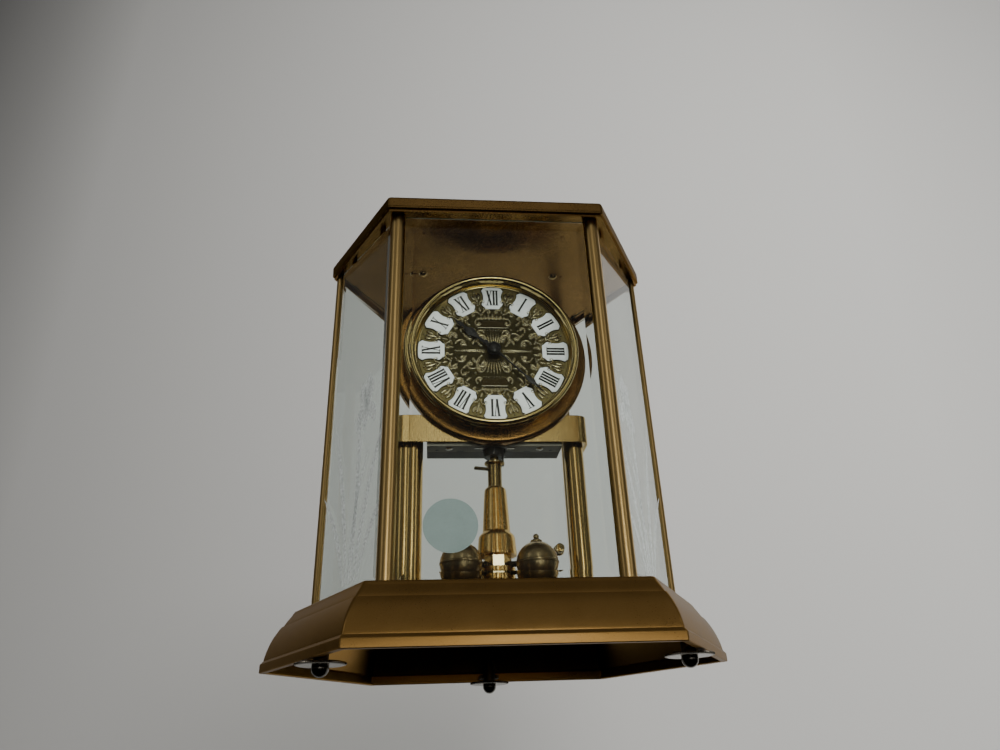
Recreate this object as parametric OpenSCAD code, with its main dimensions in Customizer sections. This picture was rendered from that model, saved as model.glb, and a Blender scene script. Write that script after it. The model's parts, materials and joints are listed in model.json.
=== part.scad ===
// Anniversary clock: six-sided glazed case on a moulded base, with a quartz movement
// and a turning pendulum that carries three balls.
// Origin: middle of the surface it stands on. +Z up, front towards -Y. Millimetres.

/* [Case plan] */
// Length of the cap's front edge
front_w = 128; // [110:1:160]
// Depth of the cap, front to back
case_depth = 147; // [132:1:180]
// Slant of the side faces, measured from the front-to-back direction
side_slant = 29; // [24:1:34]
// How far the base spreads beyond the cap on every side
base_spread = 18; // [14:1:26]

/* [Heights] */
// Height of the base's lower edge above the table, feet screwed in
foot_h = 7.5; // [7:0.5:10]
// Height of the base moulding
base_h = 30.5; // [29:0.5:40]
// Height of the posts between floor and ceiling
post_h = 218; // [205:1:250]
// Height of the cap
cap_h = 8.5; // [7:0.5:14]

/* [Case pieces] */
// Thickness of the pressed base sheet
base_wall = 1.3; // [0.8:0.1:1.6]
// Thickness of the floor, the ceiling and the cap sheet
sheet_t = 1.2; // [0.8:0.1:1.6]
// Diameter of the front and rear posts
post_d = 9; // [8:0.5:11]
// Diameter of the two side posts
side_post_d = 6; // [5.5:0.5:8]
// Distance from the cap's edge in to the front and rear posts
post_inset = 9.8; // [8:0.2:12]
// Gap between the ceiling's lip and the side posts
side_post_gap = 0.3; // [0.2:0.1:2]
// Distance from the cap's edge in to the ceiling's lip
lip_in = 1.2; // [0.8:0.1:2]
// Thickness of the glass
glass_t = 3; // [2:0.2:3.4]
// Depth to which the glass enters the posts
glass_bite = 1.6; // [1:0.2:1.8]
// Diameter of the screws that hold the posts and columns
screw_d = 3; // [2.5:0.1:3.4]

/* [Feet] */
// Diameter of each ball foot
foot_ball_d = 8.2; // [7:0.2:9]
// Diameter of each knurled levelling disc
knurl_d = 24; // [18:1:28]
// Diameter of the levelling screw's thread
foot_screw_d = 4; // [3:0.5:5]
// Distance of the front feet in front of the middle
foot_front_y = 52; // [45:1:60]
// Distance of the rear foot behind the middle
foot_rear_y = 78; // [70:1:80]
// Distance of the front feet in from the base's slanted edge
foot_inset = 8.4; // [8:0.1:12]

/* [Dial and bezel] */
// Height of the dial centre above the floor of the case
dial_h = 148.5; // [142:0.5:155]
// Distance of the dial face in front of the middle
dial_front = 23.6; // [22:0.2:27]
// Outer diameter of the polished bezel lip
lip_d = 103; // [98:1:108]
// Outer diameter of the bronze bezel housing
housing_d = 116; // [112:1:120]
// Diameter of the dial plate
dial_d = 94.8; // [90:0.2:95]
// Radius of the circle through the numeral plates' middles
numeral_r = 38; // [35:0.5:39]
// Hour shown by the hands, 0 to 12
hour_shown = 10.375; // [0:0.125:12]

/* [Movement stand] */
// Distance of each column from the middle
column_x = 48; // [47:0.5:52]
// Diameter of each column
column_d = 11.6; // [9:0.2:12]
// Height of the bridge's lower edge above the floor of the case
bridge_low = 92.5; // [88:0.5:96]
// Height of the bridge's front
bridge_h = 17; // [12:0.5:20]
// Width of the movement
movement_w = 80; // [76:1:82]
// Height of the movement
movement_tall = 94; // [88:1:98]

/* [Pendulum] */
// Distance of the pendulum axis in front of the middle
pend_front = 5; // [3:0.5:8]
// Diameter of each pendulum ball
ball_d = 23; // [18:0.5:24]
// Distance of each ball's middle from the pendulum axis
ball_r = 24; // [22.5:0.5:26]
// Height of the balls' middles above the floor of the case
ball_h = 21; // [18:0.5:25]
// Width of the eight-sided hub across its flats
hub_flats = 15; // [12:0.5:18]

/* [Hidden] */
$fn = 64;
gap = 0.2;           // clearance where pieces slip together
run = 0.05;          // radial clearance of a running fit
slot_gap = 0.1;      // clearance on each side of a glass edge in its groove
floor_t = sheet_t;
base_top = foot_h + base_h;
floor_sink = 0.5;     // the floor lies this far below the base's rim
cap_drop = 0.5;       // the cap's edge hangs this far below the ceiling's underside
floor_z = base_top - floor_sink;
ceiling_z = floor_z + post_h;
cap_z = ceiling_z - cap_drop;
half_front = front_w / 2;
half_depth = case_depth / 2;

// Corners of the six-sided outline, moved outward by d, anticlockwise from front left
corner_run = (1 - sin(side_slant)) / cos(side_slant);
function hex_a(d) = half_front + d * corner_run;
function hex_b(d) = half_depth + d;
function hex_s(d) = hex_a(d) + hex_b(d) * tan(side_slant);
function hex_points(d) = [
    [-hex_a(d), -hex_b(d)], [hex_a(d), -hex_b(d)], [hex_s(d), 0],
    [hex_a(d), hex_b(d)], [-hex_a(d), hex_b(d)], [-hex_s(d), 0]
];

// Places of the posts
post_x = hex_a(-post_inset);
post_y = hex_b(-post_inset);
side_x = hex_s(0) - (lip_in + sheet_t + side_post_gap + side_post_d / 2) / cos(side_slant);
side_run = norm([side_x - post_x, post_y]);
side_turn = atan2(post_y, side_x - post_x);

post_screw_d = min(screw_d, side_post_d - 2 * glass_bite - 0.8);
screw_bore = post_screw_d + 2 * run;
cap_screw_x = 44;
cap_screw_y = -4;
cap_screw_d = 2.4;

// Section of the base moulding: [inset from the lower edge, height above it]
band_h = 4.5;
ovolo_in = 1.5;
ovolo_low = 6.3;
ovolo_r = 23.4;
ovolo_rise = 16.3;
ovolo_end = acos(sqrt(ovolo_r * ovolo_r - ovolo_rise * ovolo_rise) / ovolo_r);
crease_in = ovolo_in + ovolo_r * (1 - cos(ovolo_end));
crease_z = ovolo_low + ovolo_rise;
crease_step = 0.8;
rim_in = 12.6;
rim_low = base_h - 1.8;
rim_w = 2.4;
seat_w = 4;
seat_h = base_h - floor_sink - floor_t;
fold_w = 2.2;
arc_steps = 10;
function ovolo(t) = [
    for (i = [0:arc_steps])
    let (a = ovolo_end * i / arc_steps)
    [ovolo_in + ovolo_r - (ovolo_r - t) * cos(a), ovolo_low + (ovolo_r - t) * sin(a)]
];
function cove(t, k) = [
    for (i = [0:arc_steps])
    let (a = 90 * i / arc_steps)
    [crease_in + crease_step + t + (rim_in - crease_in - crease_step) * (1 - cos(a)),
     crease_z - k + (rim_low - crease_z) * sin(a)]
];
function flip(list) = [for (i = [len(list) - 1:-1:0]) list[i]];
base_section = concat(
    [[0, 0], [0, band_h], [ovolo_in, ovolo_low - 0.4]],
    ovolo(0),
    cove(0, 0),
    [[rim_in, base_h], [rim_in + rim_w, base_h]],
    [[rim_in + rim_w, seat_h], [rim_in + rim_w + seat_w, seat_h]],
    [[rim_in + rim_w + seat_w, seat_h - floor_t], [rim_in + base_wall, seat_h - floor_t]],
    flip(cove(base_wall, base_wall)),
    flip(ovolo(base_wall)),
    [[base_wall, band_h + 0.6], [base_wall, base_wall], [fold_w + base_wall, base_wall]],
    [[fold_w + base_wall, 0]]
);

// Dial, bezel and hands, measured along Y
dial_z = floor_z + dial_h;
dial_y = -dial_front;
lip_y = dial_y - 7.4;
flange_y = dial_y + 4.6;
pan_y = flange_y + 4.4;
minute_angle = 360 * (hour_shown - floor(hour_shown));
hour_angle = 30 * hour_shown;

housing_back = pan_y + sheet_t;

// Movement
case_front = pan_y + sheet_t + gap;
case_split = case_front + 10;
case_back = case_split + 11;
shell_t = 1.6;
movement_z = dial_z - 58;
bridge_z = floor_z + bridge_low;
bridge_y = flange_y + 3.6;
bridge_half = column_x + column_d / 2 + gap + sheet_t + 0.8;
shelf_z = bridge_z + 9;
lug_t = 2;
column_y = -pend_front;

// Gear train: teeth and modules
battery_z = movement_z + 16;
core_out = 9;         // from the rotor's axis to the coil's
set_module = 0.6;
cannon_teeth = 12;
motion_teeth = 36;
hour_teeth = 40;
hour_pinion = 10;
motion_drop = set_module * (cannon_teeth + motion_teeth) / 2;
motion_z = dial_z - motion_drop;
hour_module = 2 * motion_drop / (hour_teeth + hour_pinion);
train_module = 0.2;
leaf = 8;
rotor_leaf = 6;
centre_teeth = 120;
third_teeth = 80;
second_teeth = 72;
third_at = polar([0, dial_z], train_module * (centre_teeth + leaf) / 2, 60);
second_at = polar(third_at, train_module * (third_teeth + leaf) / 2, 150);
rotor_at = polar(second_at, train_module * (second_teeth + rotor_leaf) / 2, 180);
function polar(p, r, a) = [p[0] + r * cos(a), p[1] + r * sin(a)];
arbor_r = 1;
pipe_r = 2.3;
wheel_t = 0.8;
hour_wheel_y = case_front + shell_t + 0.4;
cannon_y = hour_wheel_y + 1.6;
centre_y = cannon_y + 2.4;
third_y = centre_y + 1.4;
second_y = third_y + 1.4;

// Pendulum, heights above the floor
pend_y = -pend_front;
body_low = ball_h + 6.5;
body_top = body_low + 40;
hub_low = body_low - 7;
stem_top = movement_z - floor_z - 0.8;
collar_z = body_top + 14.4;
foot_clear = 4.5;
ball_angles = [-30, 90, 210];

// Feet
front_foot_x = hex_s(base_spread) - foot_front_y * tan(side_slant) - foot_inset / cos(side_slant);
foot_places = [[-front_foot_x, -foot_front_y], [front_foot_x, -foot_front_y], [0, foot_rear_y]];
knurl_low = foot_ball_d / 2 + 1.1;
knurl_t = 1.5;
foot_flat = 0.15;
foot_screw_l = 15;
spigot_d = 2.4;
spigot_l = 2.15;
boss_low = knurl_low + knurl_t + run;
boss_d = 7.2;
boss_top = foot_h + 10.5;
// Heading of the base edge nearest each foot
foot_turns = [180 + side_slant, -side_slant, 90];
foot_reach = [foot_inset, foot_inset, hex_b(base_spread) - foot_rear_y];

// Door
door_x = -(post_x - post_d / 2 - 3.8);
door_low = floor_z + 3.5;
door_high = ceiling_z - 5;
clip_t = glass_t + 1.6;
clip_l = 10;
pin_r = 1;
knob_x = 47.5;
knob_h = 48.5;

bronze = [0.47, 0.35, 0.18];
dark_bronze = [0.26, 0.19, 0.11];
brass = [0.80, 0.66, 0.38];
black = [0.05, 0.05, 0.05];
glass_tint = [0.75, 0.85, 0.85, 0.35];

// ---------- shared shapes ----------

module hex_prism(d, h) {
    linear_extrude(height = h) polygon(hex_points(d));
}

// Sweeps a section round the six sides, mitred at the corners; section x runs inward from offset d
module hex_sweep(d, section) {
    outer = hex_points(d + 1);
    inner = hex_points(d - 30);
    for (i = [0:5]) {
        j = (i + 1) % 6;
        p = hex_points(d)[i];
        q = hex_points(d)[j];
        run_len = norm(q - p);
        intersection() {
            translate([p[0], p[1], 0])
                rotate([0, 0, atan2(q[1] - p[1], q[0] - p[0])])
                translate([-40, 0, 0])
                rotate([90, 0, 90])
                linear_extrude(height = run_len + 80)
                polygon(section);
            translate([0, 0, -20])
                linear_extrude(height = 100)
                polygon([outer[i], outer[j], inner[j], inner[i]]);
        }
    }
}

// A cylinder along Y from y0 to y1
module y_rod(r, y0, y1) {
    translate([0, y1, 0]) rotate([90, 0, 0]) cylinder(r = r, h = y1 - y0);
}

module y_tube(r_out, r_in, y0, y1) {
    difference() {
        y_rod(r_out, y0, y1);
        y_rod(r_in, y0 - 1, y1 + 1);
    }
}

// Turned shape about Y: profile points are [radius, y]
module y_turn(profile) {
    rotate([-90, 0, 0]) rotate_extrude($fn = 96) polygon(profile);
}

// Toothed disc in the XZ plane, a tooth pointing at angle "tooth_at"
module gear(teeth, mod, y0, y1, tooth_at, bore) {
    r = teeth * mod / 2;
    tip = r + 0.6 * mod;
    root = r - 0.95 * mod;
    pitch = 360 / teeth;
    outline = [
        for (i = [0:teeth - 1])
        for (s = [[root, -0.27], [tip, -0.10], [tip, 0.10], [root, 0.27]])
        let (a = tooth_at + (i + s[1]) * pitch)
        [s[0] * cos(a), s[0] * sin(a)]
    ];
    difference() {
        translate([0, y1, 0]) rotate([90, 0, 0]) linear_extrude(height = y1 - y0) polygon(outline);
        if (bore > 0) y_rod(bore, y0 - 1, y1 + 1);
    }
}

// Outline of a knurled disc
module knurled(r, knurls, depth) {
    polygon([for (k = [0:2 * knurls - 1])
        let (q = r - (k % 2) * depth) [q * cos(180 * k / knurls), q * sin(180 * k / knurls)]]);
}

// ---------- base and feet ----------

module base_shell() {
    color(bronze) translate([0, 0, foot_h]) hex_sweep(base_spread, base_section);
}

module floor_plate() {
    color(bronze) difference() {
        translate([0, 0, floor_z - floor_t]) hex_prism(base_spread - rim_in - rim_w - gap, floor_t);
        for (p = post_places())
            translate([p[0], p[1], floor_z - floor_t - 1]) cylinder(d = screw_d + gap, h = floor_t + 2);
        for (s = [-1, 1])
            translate([s * column_x, column_y, floor_z - floor_t - 1])
                cylinder(d = screw_d + gap, h = floor_t + 2);
        translate([door_x, post_y, floor_z - floor_t - 1]) cylinder(r = pin_r + run, h = floor_t + 2);
    }
}

// Bracket with the threaded boss that takes a levelling screw
module foot_brackets() {
    arm_w = 12;
    arm_t = 2;
    arm_z = foot_h + base_wall;
    color(dark_bronze) for (i = [0:2])
        translate([foot_places[i][0], foot_places[i][1], 0])
        difference() {
            union() {
                translate([0, 0, boss_low]) cylinder(d = boss_d, h = boss_top - boss_low);
                rotate([0, 0, foot_turns[i]])
                    translate([0, -arm_w / 2, arm_z])
                    cube([foot_reach[i] - base_wall, arm_w, arm_t]);
            }
            translate([0, 0, boss_low - 1]) cylinder(d = foot_screw_d + 2 * run, h = boss_top);
        }
}

// Ball cut flat where it stands and where it meets the disc, with a socket for the disc's spigot
module foot_ball(i) {
    color(black) translate([foot_places[i][0], foot_places[i][1], 0]) intersection() {
        difference() {
            translate([0, 0, foot_ball_d / 2 - foot_flat]) sphere(d = foot_ball_d);
            translate([0, 0, knurl_low - spigot_l - gap]) cylinder(d = spigot_d + 2 * run, h = 5);
        }
        cylinder(d = 2 * foot_ball_d, h = knurl_low - run);
    }
}

module foot_screw(i) {
    knurls = 60;
    color(black) translate([foot_places[i][0], foot_places[i][1], 0]) {
        translate([0, 0, knurl_low]) linear_extrude(height = knurl_t) knurled(knurl_d / 2, knurls, 0.5);
        translate([0, 0, knurl_low - spigot_l]) cylinder(d = spigot_d, h = spigot_l + 1);
        translate([0, 0, knurl_low]) cylinder(d = foot_screw_d, h = foot_screw_l);
    }
}

// ---------- posts, ceiling and cap ----------

function post_places() = [
    [-post_x, -post_y, post_d], [post_x, -post_y, post_d], [-side_x, 0, side_post_d],
    [side_x, 0, side_post_d], [-post_x, post_y, post_d], [post_x, post_y, post_d]
];

// A post with grooves for the glass that points along each heading
module post(p, headings) {
    color(bronze) translate([p[0], p[1], floor_z]) difference() {
        cylinder(d = p[2], h = post_h);
        for (a = headings) rotate([0, 0, a])
            translate([p[2] / 2 - glass_bite - slot_gap, -glass_t / 2 - slot_gap, -1])
            cube([p[2], glass_t + 2 * slot_gap, post_h + 2]);
        translate([0, 0, -1]) cylinder(d = screw_bore, h = 9);
        translate([0, 0, post_h - 8]) cylinder(d = screw_bore, h = 9);
    }
}

// Screws at both ends of the posts and of the two columns
module frame_screws() {
    column_top = shelf_z + sheet_t + lug_t;
    color(brass) {
        for (p = post_places()) translate([p[0], p[1], 0]) {
            frame_screw(floor_z - floor_t, floor_t + 6, post_screw_d, 1);
            frame_screw(ceiling_z + sheet_t, sheet_t + 6, post_screw_d, -1);
        }
        for (s = [-1, 1]) translate([s * column_x, column_y, 0]) {
            frame_screw(floor_z - floor_t, floor_t + 9, screw_d, 1);
            frame_screw(column_top, column_top - shelf_z + 8, screw_d, -1);
        }
    }
}

// Cheese-head screw whose head rests at height z and whose shank runs up (1) or down (-1)
module frame_screw(z, shank, d, way) {
    head_h = 1.8;
    translate([0, 0, z]) mirror([0, 0, way > 0 ? 0 : 1]) {
        cylinder(d = d, h = shank);
        translate([0, 0, -head_h]) cylinder(d = 5.4, h = head_h);
    }
}

module ceiling_plate() {
    lip_drop = 2.4;
    section = [[0, -lip_drop], [0, sheet_t], [8, sheet_t], [8, 0], [sheet_t, 0], [sheet_t, -lip_drop]];
    color(dark_bronze) difference() {
        translate([0, 0, ceiling_z]) {
            hex_prism(-lip_in - 6, sheet_t);
            hex_sweep(-lip_in, section);
        }
        for (p = post_places())
            translate([p[0], p[1], ceiling_z - 1]) cylinder(d = screw_d + gap, h = sheet_t + 2);
        for (s = [-1, 1]) {
            translate([s * cap_screw_x, cap_screw_y, ceiling_z - 1])
                cylinder(d = cap_screw_d + gap, h = 4);
            translate([s * (cap_screw_x + 5.6), cap_screw_y, ceiling_z - 1]) cylinder(d = 1.8, h = 4);
            translate([s * (cap_screw_x - 0.6), -0.65 * half_depth, ceiling_z - 1])
                cylinder(d = 1.8, h = 4);
        }
        translate([door_x, post_y, ceiling_z - 1]) cylinder(r = pin_r + run, h = sheet_t + 2);
    }
}

module cap() {
    round_r = 2;
    rounding = concat(
        [[-0.9, cap_h - round_r], [0, cap_h - round_r]],
        [for (i = [1:8]) [round_r * (1 - cos(90 * i / 8)), cap_h - round_r * (1 - sin(90 * i / 8))]],
        [[round_r, cap_h + 1], [-0.9, cap_h + 1]]
    );
    color(bronze) translate([0, 0, cap_z]) {
        difference() {
            hex_prism(0, cap_h);
            translate([0, 0, -1]) hex_prism(-sheet_t, cap_h - sheet_t + 1);
            hex_sweep(0, rounding);
        }
        for (s = [-1, 1]) translate([s * cap_screw_x, cap_screw_y, cap_drop + sheet_t])
            difference() {
                cylinder(d = 6, h = cap_h - cap_drop - 2 * sheet_t + 0.3);
                translate([0, 0, -1]) cylinder(d = cap_screw_d + 2 * run, h = 5.5);
            }
    }
}

module cap_screws() {
    head_d = 5.2;
    color(brass) for (s = [-1, 1]) translate([s * cap_screw_x, cap_screw_y, ceiling_z]) {
        cylinder(d = cap_screw_d, h = sheet_t + 3.5);
        translate([0, 0, -2]) intersection() {
            translate([0, 0, head_d / 2]) sphere(d = head_d);
            cylinder(d = head_d, h = 2);
        }
    }
}

// ---------- glass ----------

module flat_glass(length) {
    translate([0, -glass_t / 2, floor_z + gap]) cube([length, glass_t, post_h - 2 * gap]);
}

module glass_front() {
    half = post_x - post_d / 2 + glass_bite;
    color(glass_tint) translate([-half, -post_y, 0]) flat_glass(2 * half);
}

// A slanted panel between a front or rear post and a side post
module side_glass(x_sign, y_sign) {
    near = post_d / 2 - glass_bite;
    far = side_post_d / 2 - glass_bite;
    color(glass_tint) mirror([x_sign < 0 ? 1 : 0, 0, 0]) mirror([0, y_sign > 0 ? 1 : 0, 0])
        translate([post_x, -post_y, 0]) rotate([0, 0, side_turn])
        translate([near, 0, 0]) flat_glass(side_run - near - far);
}

module glass_tabs() {
    tab = [5, 1.2, 4];
    color(dark_bronze) for (m = [0, 1]) mirror([m, 0, 0]) for (n = [0, 1]) mirror([0, n, 0])
        translate([post_x, -post_y, ceiling_z - tab[2]]) rotate([0, 0, side_turn])
        for (d = [0.2, 0.7]) translate([d * side_run - tab[0] / 2, -glass_t / 2 - tab[1], 0]) cube(tab);
}

// Round film disc on the inside of the front glass
module glass_label() {
    at = [-27.5, 29.5];
    color([0.6, 0.7, 0.74]) translate([at[0], -post_y + glass_t / 2, floor_z + at[1]])
        y_rod(13.6, 0, 0.15);
}

// ---------- rear door ----------

module door_glass() {
    left = door_x - 1.6;
    color(glass_tint) difference() {
        translate([left, post_y - glass_t / 2, door_low])
            cube([post_x - post_d / 2 - 0.6 - left, glass_t, door_high - door_low]);
        translate([knob_x, post_y, floor_z + knob_h]) y_rod(1.6, -glass_t, glass_t);
    }
}

module door_clips() {
    color(brass) for (top = [0, 1]) {
        clip_z = top == 1 ? door_high - clip_l + 1 : door_low - 1;
        pin_z = top == 1 ? door_high + 1 : floor_z - floor_t;
        pin_h = top == 1 ? ceiling_z + sheet_t - door_high - 1 : door_low - 1 - floor_z + floor_t;
        difference() {
            translate([door_x - 2.2, post_y - clip_t / 2, clip_z]) cube([clip_l, clip_t, clip_l]);
            translate([door_x - 1.6, post_y - glass_t / 2, door_low])
                cube([clip_l + 5, glass_t, door_high - door_low]);
        }
        translate([door_x, post_y, pin_z]) cylinder(r = pin_r, h = pin_h);
    }
}

module door_knob() {
    out = post_y + glass_t / 2;
    inn = post_y - glass_t / 2;
    color(brass) translate([knob_x, 0, floor_z + knob_h]) {
        y_rod(1.5, inn - 1, out + 1);
        y_rod(3, inn - 1.2, inn);
        y_turn([[0, out], [3.2, out], [3.2, out + 0.8], [1.8, out + 1.6], [1.8, out + 3],
                [3.6, out + 4.2], [3.6, out + 5.6], [2.6, out + 6.6], [0, out + 6.6]]);
    }
}

// ---------- stand for the movement ----------

module column(s) {
    h = shelf_z - floor_z;
    color(bronze) translate([s * column_x, column_y, floor_z]) difference() {
        cylinder(d = column_d, h = h);
        translate([0, 0, -1]) cylinder(d = screw_d + 2 * run, h = 11);
        translate([0, 0, h - 10]) cylinder(d = screw_d + 2 * run, h = 11);
    }
}

// Bent sheet that joins the columns, cut to fit round the bezel housing
module bridge() {
    bend = 6;
    back = 12;
    far = column_y + back;
    color(brass) difference() {
        union() {
            translate([0, 0, bridge_z]) difference() {
                linear_extrude(height = bridge_h) bridge_plan(0, bend, far);
                translate([0, 0, -1]) linear_extrude(height = bridge_h + 2)
                    bridge_plan(sheet_t, bend, far + 1);
            }
            for (s = [-1, 1])
                translate([s > 0 ? movement_w / 2 + 0.5 : -bridge_half + sheet_t, column_y - 7, shelf_z])
                    cube([bridge_half - sheet_t - movement_w / 2 - 0.5, back + 7, sheet_t]);
        }
        translate([0, 0, dial_z]) y_rod(housing_d / 2 + gap, bridge_y - 5, bridge_y + sheet_t + 4);
        for (s = [-1, 1]) translate([s * column_x, column_y, shelf_z - 1])
            cylinder(d = screw_d + gap, h = sheet_t + 2);
    }
}

module bridge_plan(t, bend, far) {
    w = bridge_half - t;
    r = bend - t;
    for (s = [-1, 1]) translate([s * (w - r), bridge_y + bend]) circle(r = r);
    translate([-w + r, bridge_y + t]) square([2 * (w - r), far - bridge_y - t]);
    translate([-w, bridge_y + bend]) square([2 * w, far - bridge_y - bend]);
}

// ---------- dial and bezel ----------

module bezel_housing() {
    r = housing_d / 2;
    inner = dial_d / 2 - 2.4;
    color(bronze) translate([0, 0, dial_z]) difference() {
        y_turn([
            [pipe_r + 3, pan_y], [inner, pan_y], [inner, flange_y], [r - 1.5, flange_y],
            [r, flange_y + 1.5], [r, housing_back], [r - 1.4, housing_back], [r - 1.4, flange_y + 1.4],
            [inner + 1.4, flange_y + 1.4], [inner + 1.4, pan_y + sheet_t], [pipe_r + 3, pan_y + sheet_t]
        ]);
        for (x = [-1, 1]) for (z = [-1, 1]) translate([x * 30, 0, z * 25]) y_rod(1.3, pan_y - 1, pan_y + 3);
    }
}

module bezel_lip() {
    r = lip_d / 2;
    inner = dial_d / 2 + gap;
    seat = dial_d / 2 - 2.4;
    bead = r - inner;
    color(brass) translate([0, 0, dial_z]) y_turn(concat(
        [[inner, dial_y + sheet_t], [inner, lip_y + bead / 2]],
        [for (i = [1:7]) let (a = 180 - 180 * i / 8)
            [inner + bead / 2 + bead / 2 * cos(a), lip_y + bead / 2 - bead / 2 * sin(a)]],
        [[r, lip_y + bead / 2], [r, flange_y], [seat, flange_y], [seat, dial_y + sheet_t]]
    ));
}

module dial_plate() {
    color(brass) translate([0, 0, dial_z]) y_tube(dial_d / 2, pipe_r + 0.4, dial_y, dial_y + sheet_t);
}

// Twelve enamel plates with waisted sides
module numeral_plates() {
    plate_w = 7.4;
    plate_h = 8.8;
    color("white") for (k = [0:11]) translate([0, dial_y, dial_z]) rotate([0, 30 * k, 0])
        translate([0, 0, numeral_r]) rotate([90, 0, 0]) linear_extrude(height = 0.6)
        difference() {
            polygon([[-0.8 * plate_w, -plate_h], [0.8 * plate_w, -plate_h], [plate_w, -0.4 * plate_h],
                [plate_w, 0.6 * plate_h], [0.6 * plate_w, plate_h], [-0.6 * plate_w, plate_h],
                [-plate_w, 0.6 * plate_h], [-plate_w, -0.4 * plate_h]]);
            for (s = [-1, 1]) translate([s * (plate_w + 1.3), 0]) circle(r = 2.7);
        }
}

// Two plain plates above and below the dial centre
module name_plates() {
    plate_h = 5.2;
    color(dark_bronze) for (t = [[19, 18.6], [16, -21.6]])
        translate([-t[0] / 2, dial_y - 0.5, dial_z + t[1] - plate_h / 2]) cube([t[0], 0.5, plate_h]);
}

module hand(tip, tail, w, y0, thick, bore, bulge) {
    difference() {
        translate([0, y0 + thick, 0]) rotate([90, 0, 0]) linear_extrude(height = thick) union() {
            circle(r = bore + 1.6);
            polygon([[-w, -tail], [w, -tail], [w, bulge], [3 * w, bulge + 4], [w, bulge + 9],
                [0.3, tip], [-0.3, tip], [-w, bulge + 9], [-3 * w, bulge + 4], [-w, bulge]]);
        }
        y_rod(bore, y0 - 1, y0 + thick + 1);
    }
}

module hour_hand() {
    color(black) translate([0, 0, dial_z]) rotate([0, hour_angle, 0])
        hand(32, 6, 0.9, dial_y - 3, 0.5, pipe_r, 17);
}

module minute_hand() {
    color(black) translate([0, 0, dial_z]) rotate([0, minute_angle, 0])
        hand(42, 8, 0.6, dial_y - 4.2, 0.5, arbor_r, 27);
}

module hand_nut() {
    nut_r = 4.2;
    color(black) translate([0, 0, dial_z]) difference() {
        y_turn([[0, dial_y - 6], [nut_r - 1.2, dial_y - 5.8], [nut_r, dial_y - 5], [nut_r, dial_y - 4.2],
                [0, dial_y - 4.2]]);
        y_rod(arbor_r, dial_y - 5.4, dial_y - 4);
    }
}

// ---------- movement ----------

module movement_outline(inset) {
    w = movement_w / 2 - inset;
    translate([-w, movement_z + inset]) square([2 * w, movement_tall - 2 * inset]);
}

module y_plate(y0, y1) {
    translate([0, y1, 0]) rotate([90, 0, 0]) linear_extrude(height = y1 - y0) children();
}

module drive_hole() {
    translate([0, pend_y, movement_z - 1]) cylinder(r = 7, h = 4);
}

module movement_case() {
    color([0.45, 0.45, 0.42]) difference() {
        union() {
            y_plate(case_front, case_split) movement_outline(0);
            for (s = [-1, 1]) translate([s > 0 ? movement_w / 2 : -bridge_half + sheet_t + 0.8,
                    column_y - 5, shelf_z + sheet_t])
                cube([bridge_half - sheet_t - 0.8 - movement_w / 2, 10, lug_t]);
        }
        y_plate(case_front + shell_t, case_split + 1) movement_outline(shell_t);
        for (s = [-1, 1]) translate([s * column_x, column_y, shelf_z]) cylinder(d = screw_d + gap, h = 6);
        translate([0, 0, dial_z]) y_rod(pipe_r + run, case_front - 1, case_front + 4);
        for (x = [-1, 1]) for (z = [-1, 1]) translate([x * 30, 0, dial_z + z * 25])
            y_rod(1.05, case_front - 1, case_front + 3);
        drive_hole();
    }
}

module movement_cover() {
    bay = [52, 16];
    color([0.45, 0.45, 0.42]) difference() {
        y_plate(case_split, case_back) movement_outline(0);
        y_plate(case_split - 1, case_back - shell_t) movement_outline(shell_t);
        translate([0, 0, motion_z]) y_rod(1.5 + run, case_back - 4, case_back + 1);
        translate([0, 0, dial_z]) y_rod(arbor_r + run, case_back - 4, case_back + 1);
        translate([-bay[0] / 2, case_back - 4, battery_z - bay[1] / 2]) cube([bay[0], 6, bay[1]]);
        drive_hole();
    }
}

// Screws through the housing's pan into the movement
module movement_screws() {
    color(brass) for (x = [-1, 1]) for (z = [-1, 1]) translate([x * 30, 0, dial_z + z * 25]) {
        y_rod(1, pan_y, case_front + 1.5);
        y_rod(2.2, pan_y - 1.4, pan_y);
    }
}

module circuit_board() {
    y0 = case_back - shell_t - 2.4;
    color([0.1, 0.4, 0.2]) difference() {
        translate([14, y0, dial_z + 8]) cube([22, 1.2, 26]);
        for (z = [12, 30]) translate([32, 0, dial_z + z]) y_rod(1, y0 - 1, y0 + 3);
    }
    color(black) translate([20, y0 - 1.2, dial_z + 16]) cube([9, 1.2, 9]);
}

// Coil on the stator's core, beside the rotor
module coil() {
    color([0.6, 0.3, 0.15]) translate([rotor_at[0] - core_out, second_y + 4.4, rotor_at[1] - 13])
        difference() {
            cylinder(r = 3.2, h = 26);
            translate([0, 0, -1]) cylinder(r = 1.1, h = 28);
        }
}

// Stator plate round the rotor, with the core that carries the coil
module stator() {
    y0 = second_y + 2.6;
    core = [1, 1];
    color([0.6, 0.6, 0.62]) translate([rotor_at[0], 0, rotor_at[1]]) {
        difference() {
            translate([-4.5, y0, -16]) cube([9, 0.8, 32]);
            y_rod(3, y0 - 1, y0 + 2);
        }
        for (s = [-1, 1]) translate([-core_out - 1, y0, s * 15 - 1]) cube([core_out - 3.5, 0.8, 2]);
        for (s = [-1, 1]) translate([-core_out - 1, y0 + 0.8, s * 15 - 1]) cube([2, 1.5, 2]);
        translate([-core_out - core[0] / 2, y0 + 1.3, -16]) cube([core[0], core[1], 32]);
    }
}

module rotor() {
    color([0.2, 0.2, 0.22]) translate([rotor_at[0], 0, rotor_at[1]]) {
        gear(rotor_leaf, train_module, second_y, second_y + wheel_t, 180 / rotor_leaf, 0);
        y_rod(0.3, second_y - 1.5, case_back - shell_t - 0.3);
        y_rod(2.5, second_y + 1.6, second_y + 4.4);
    }
}

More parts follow.
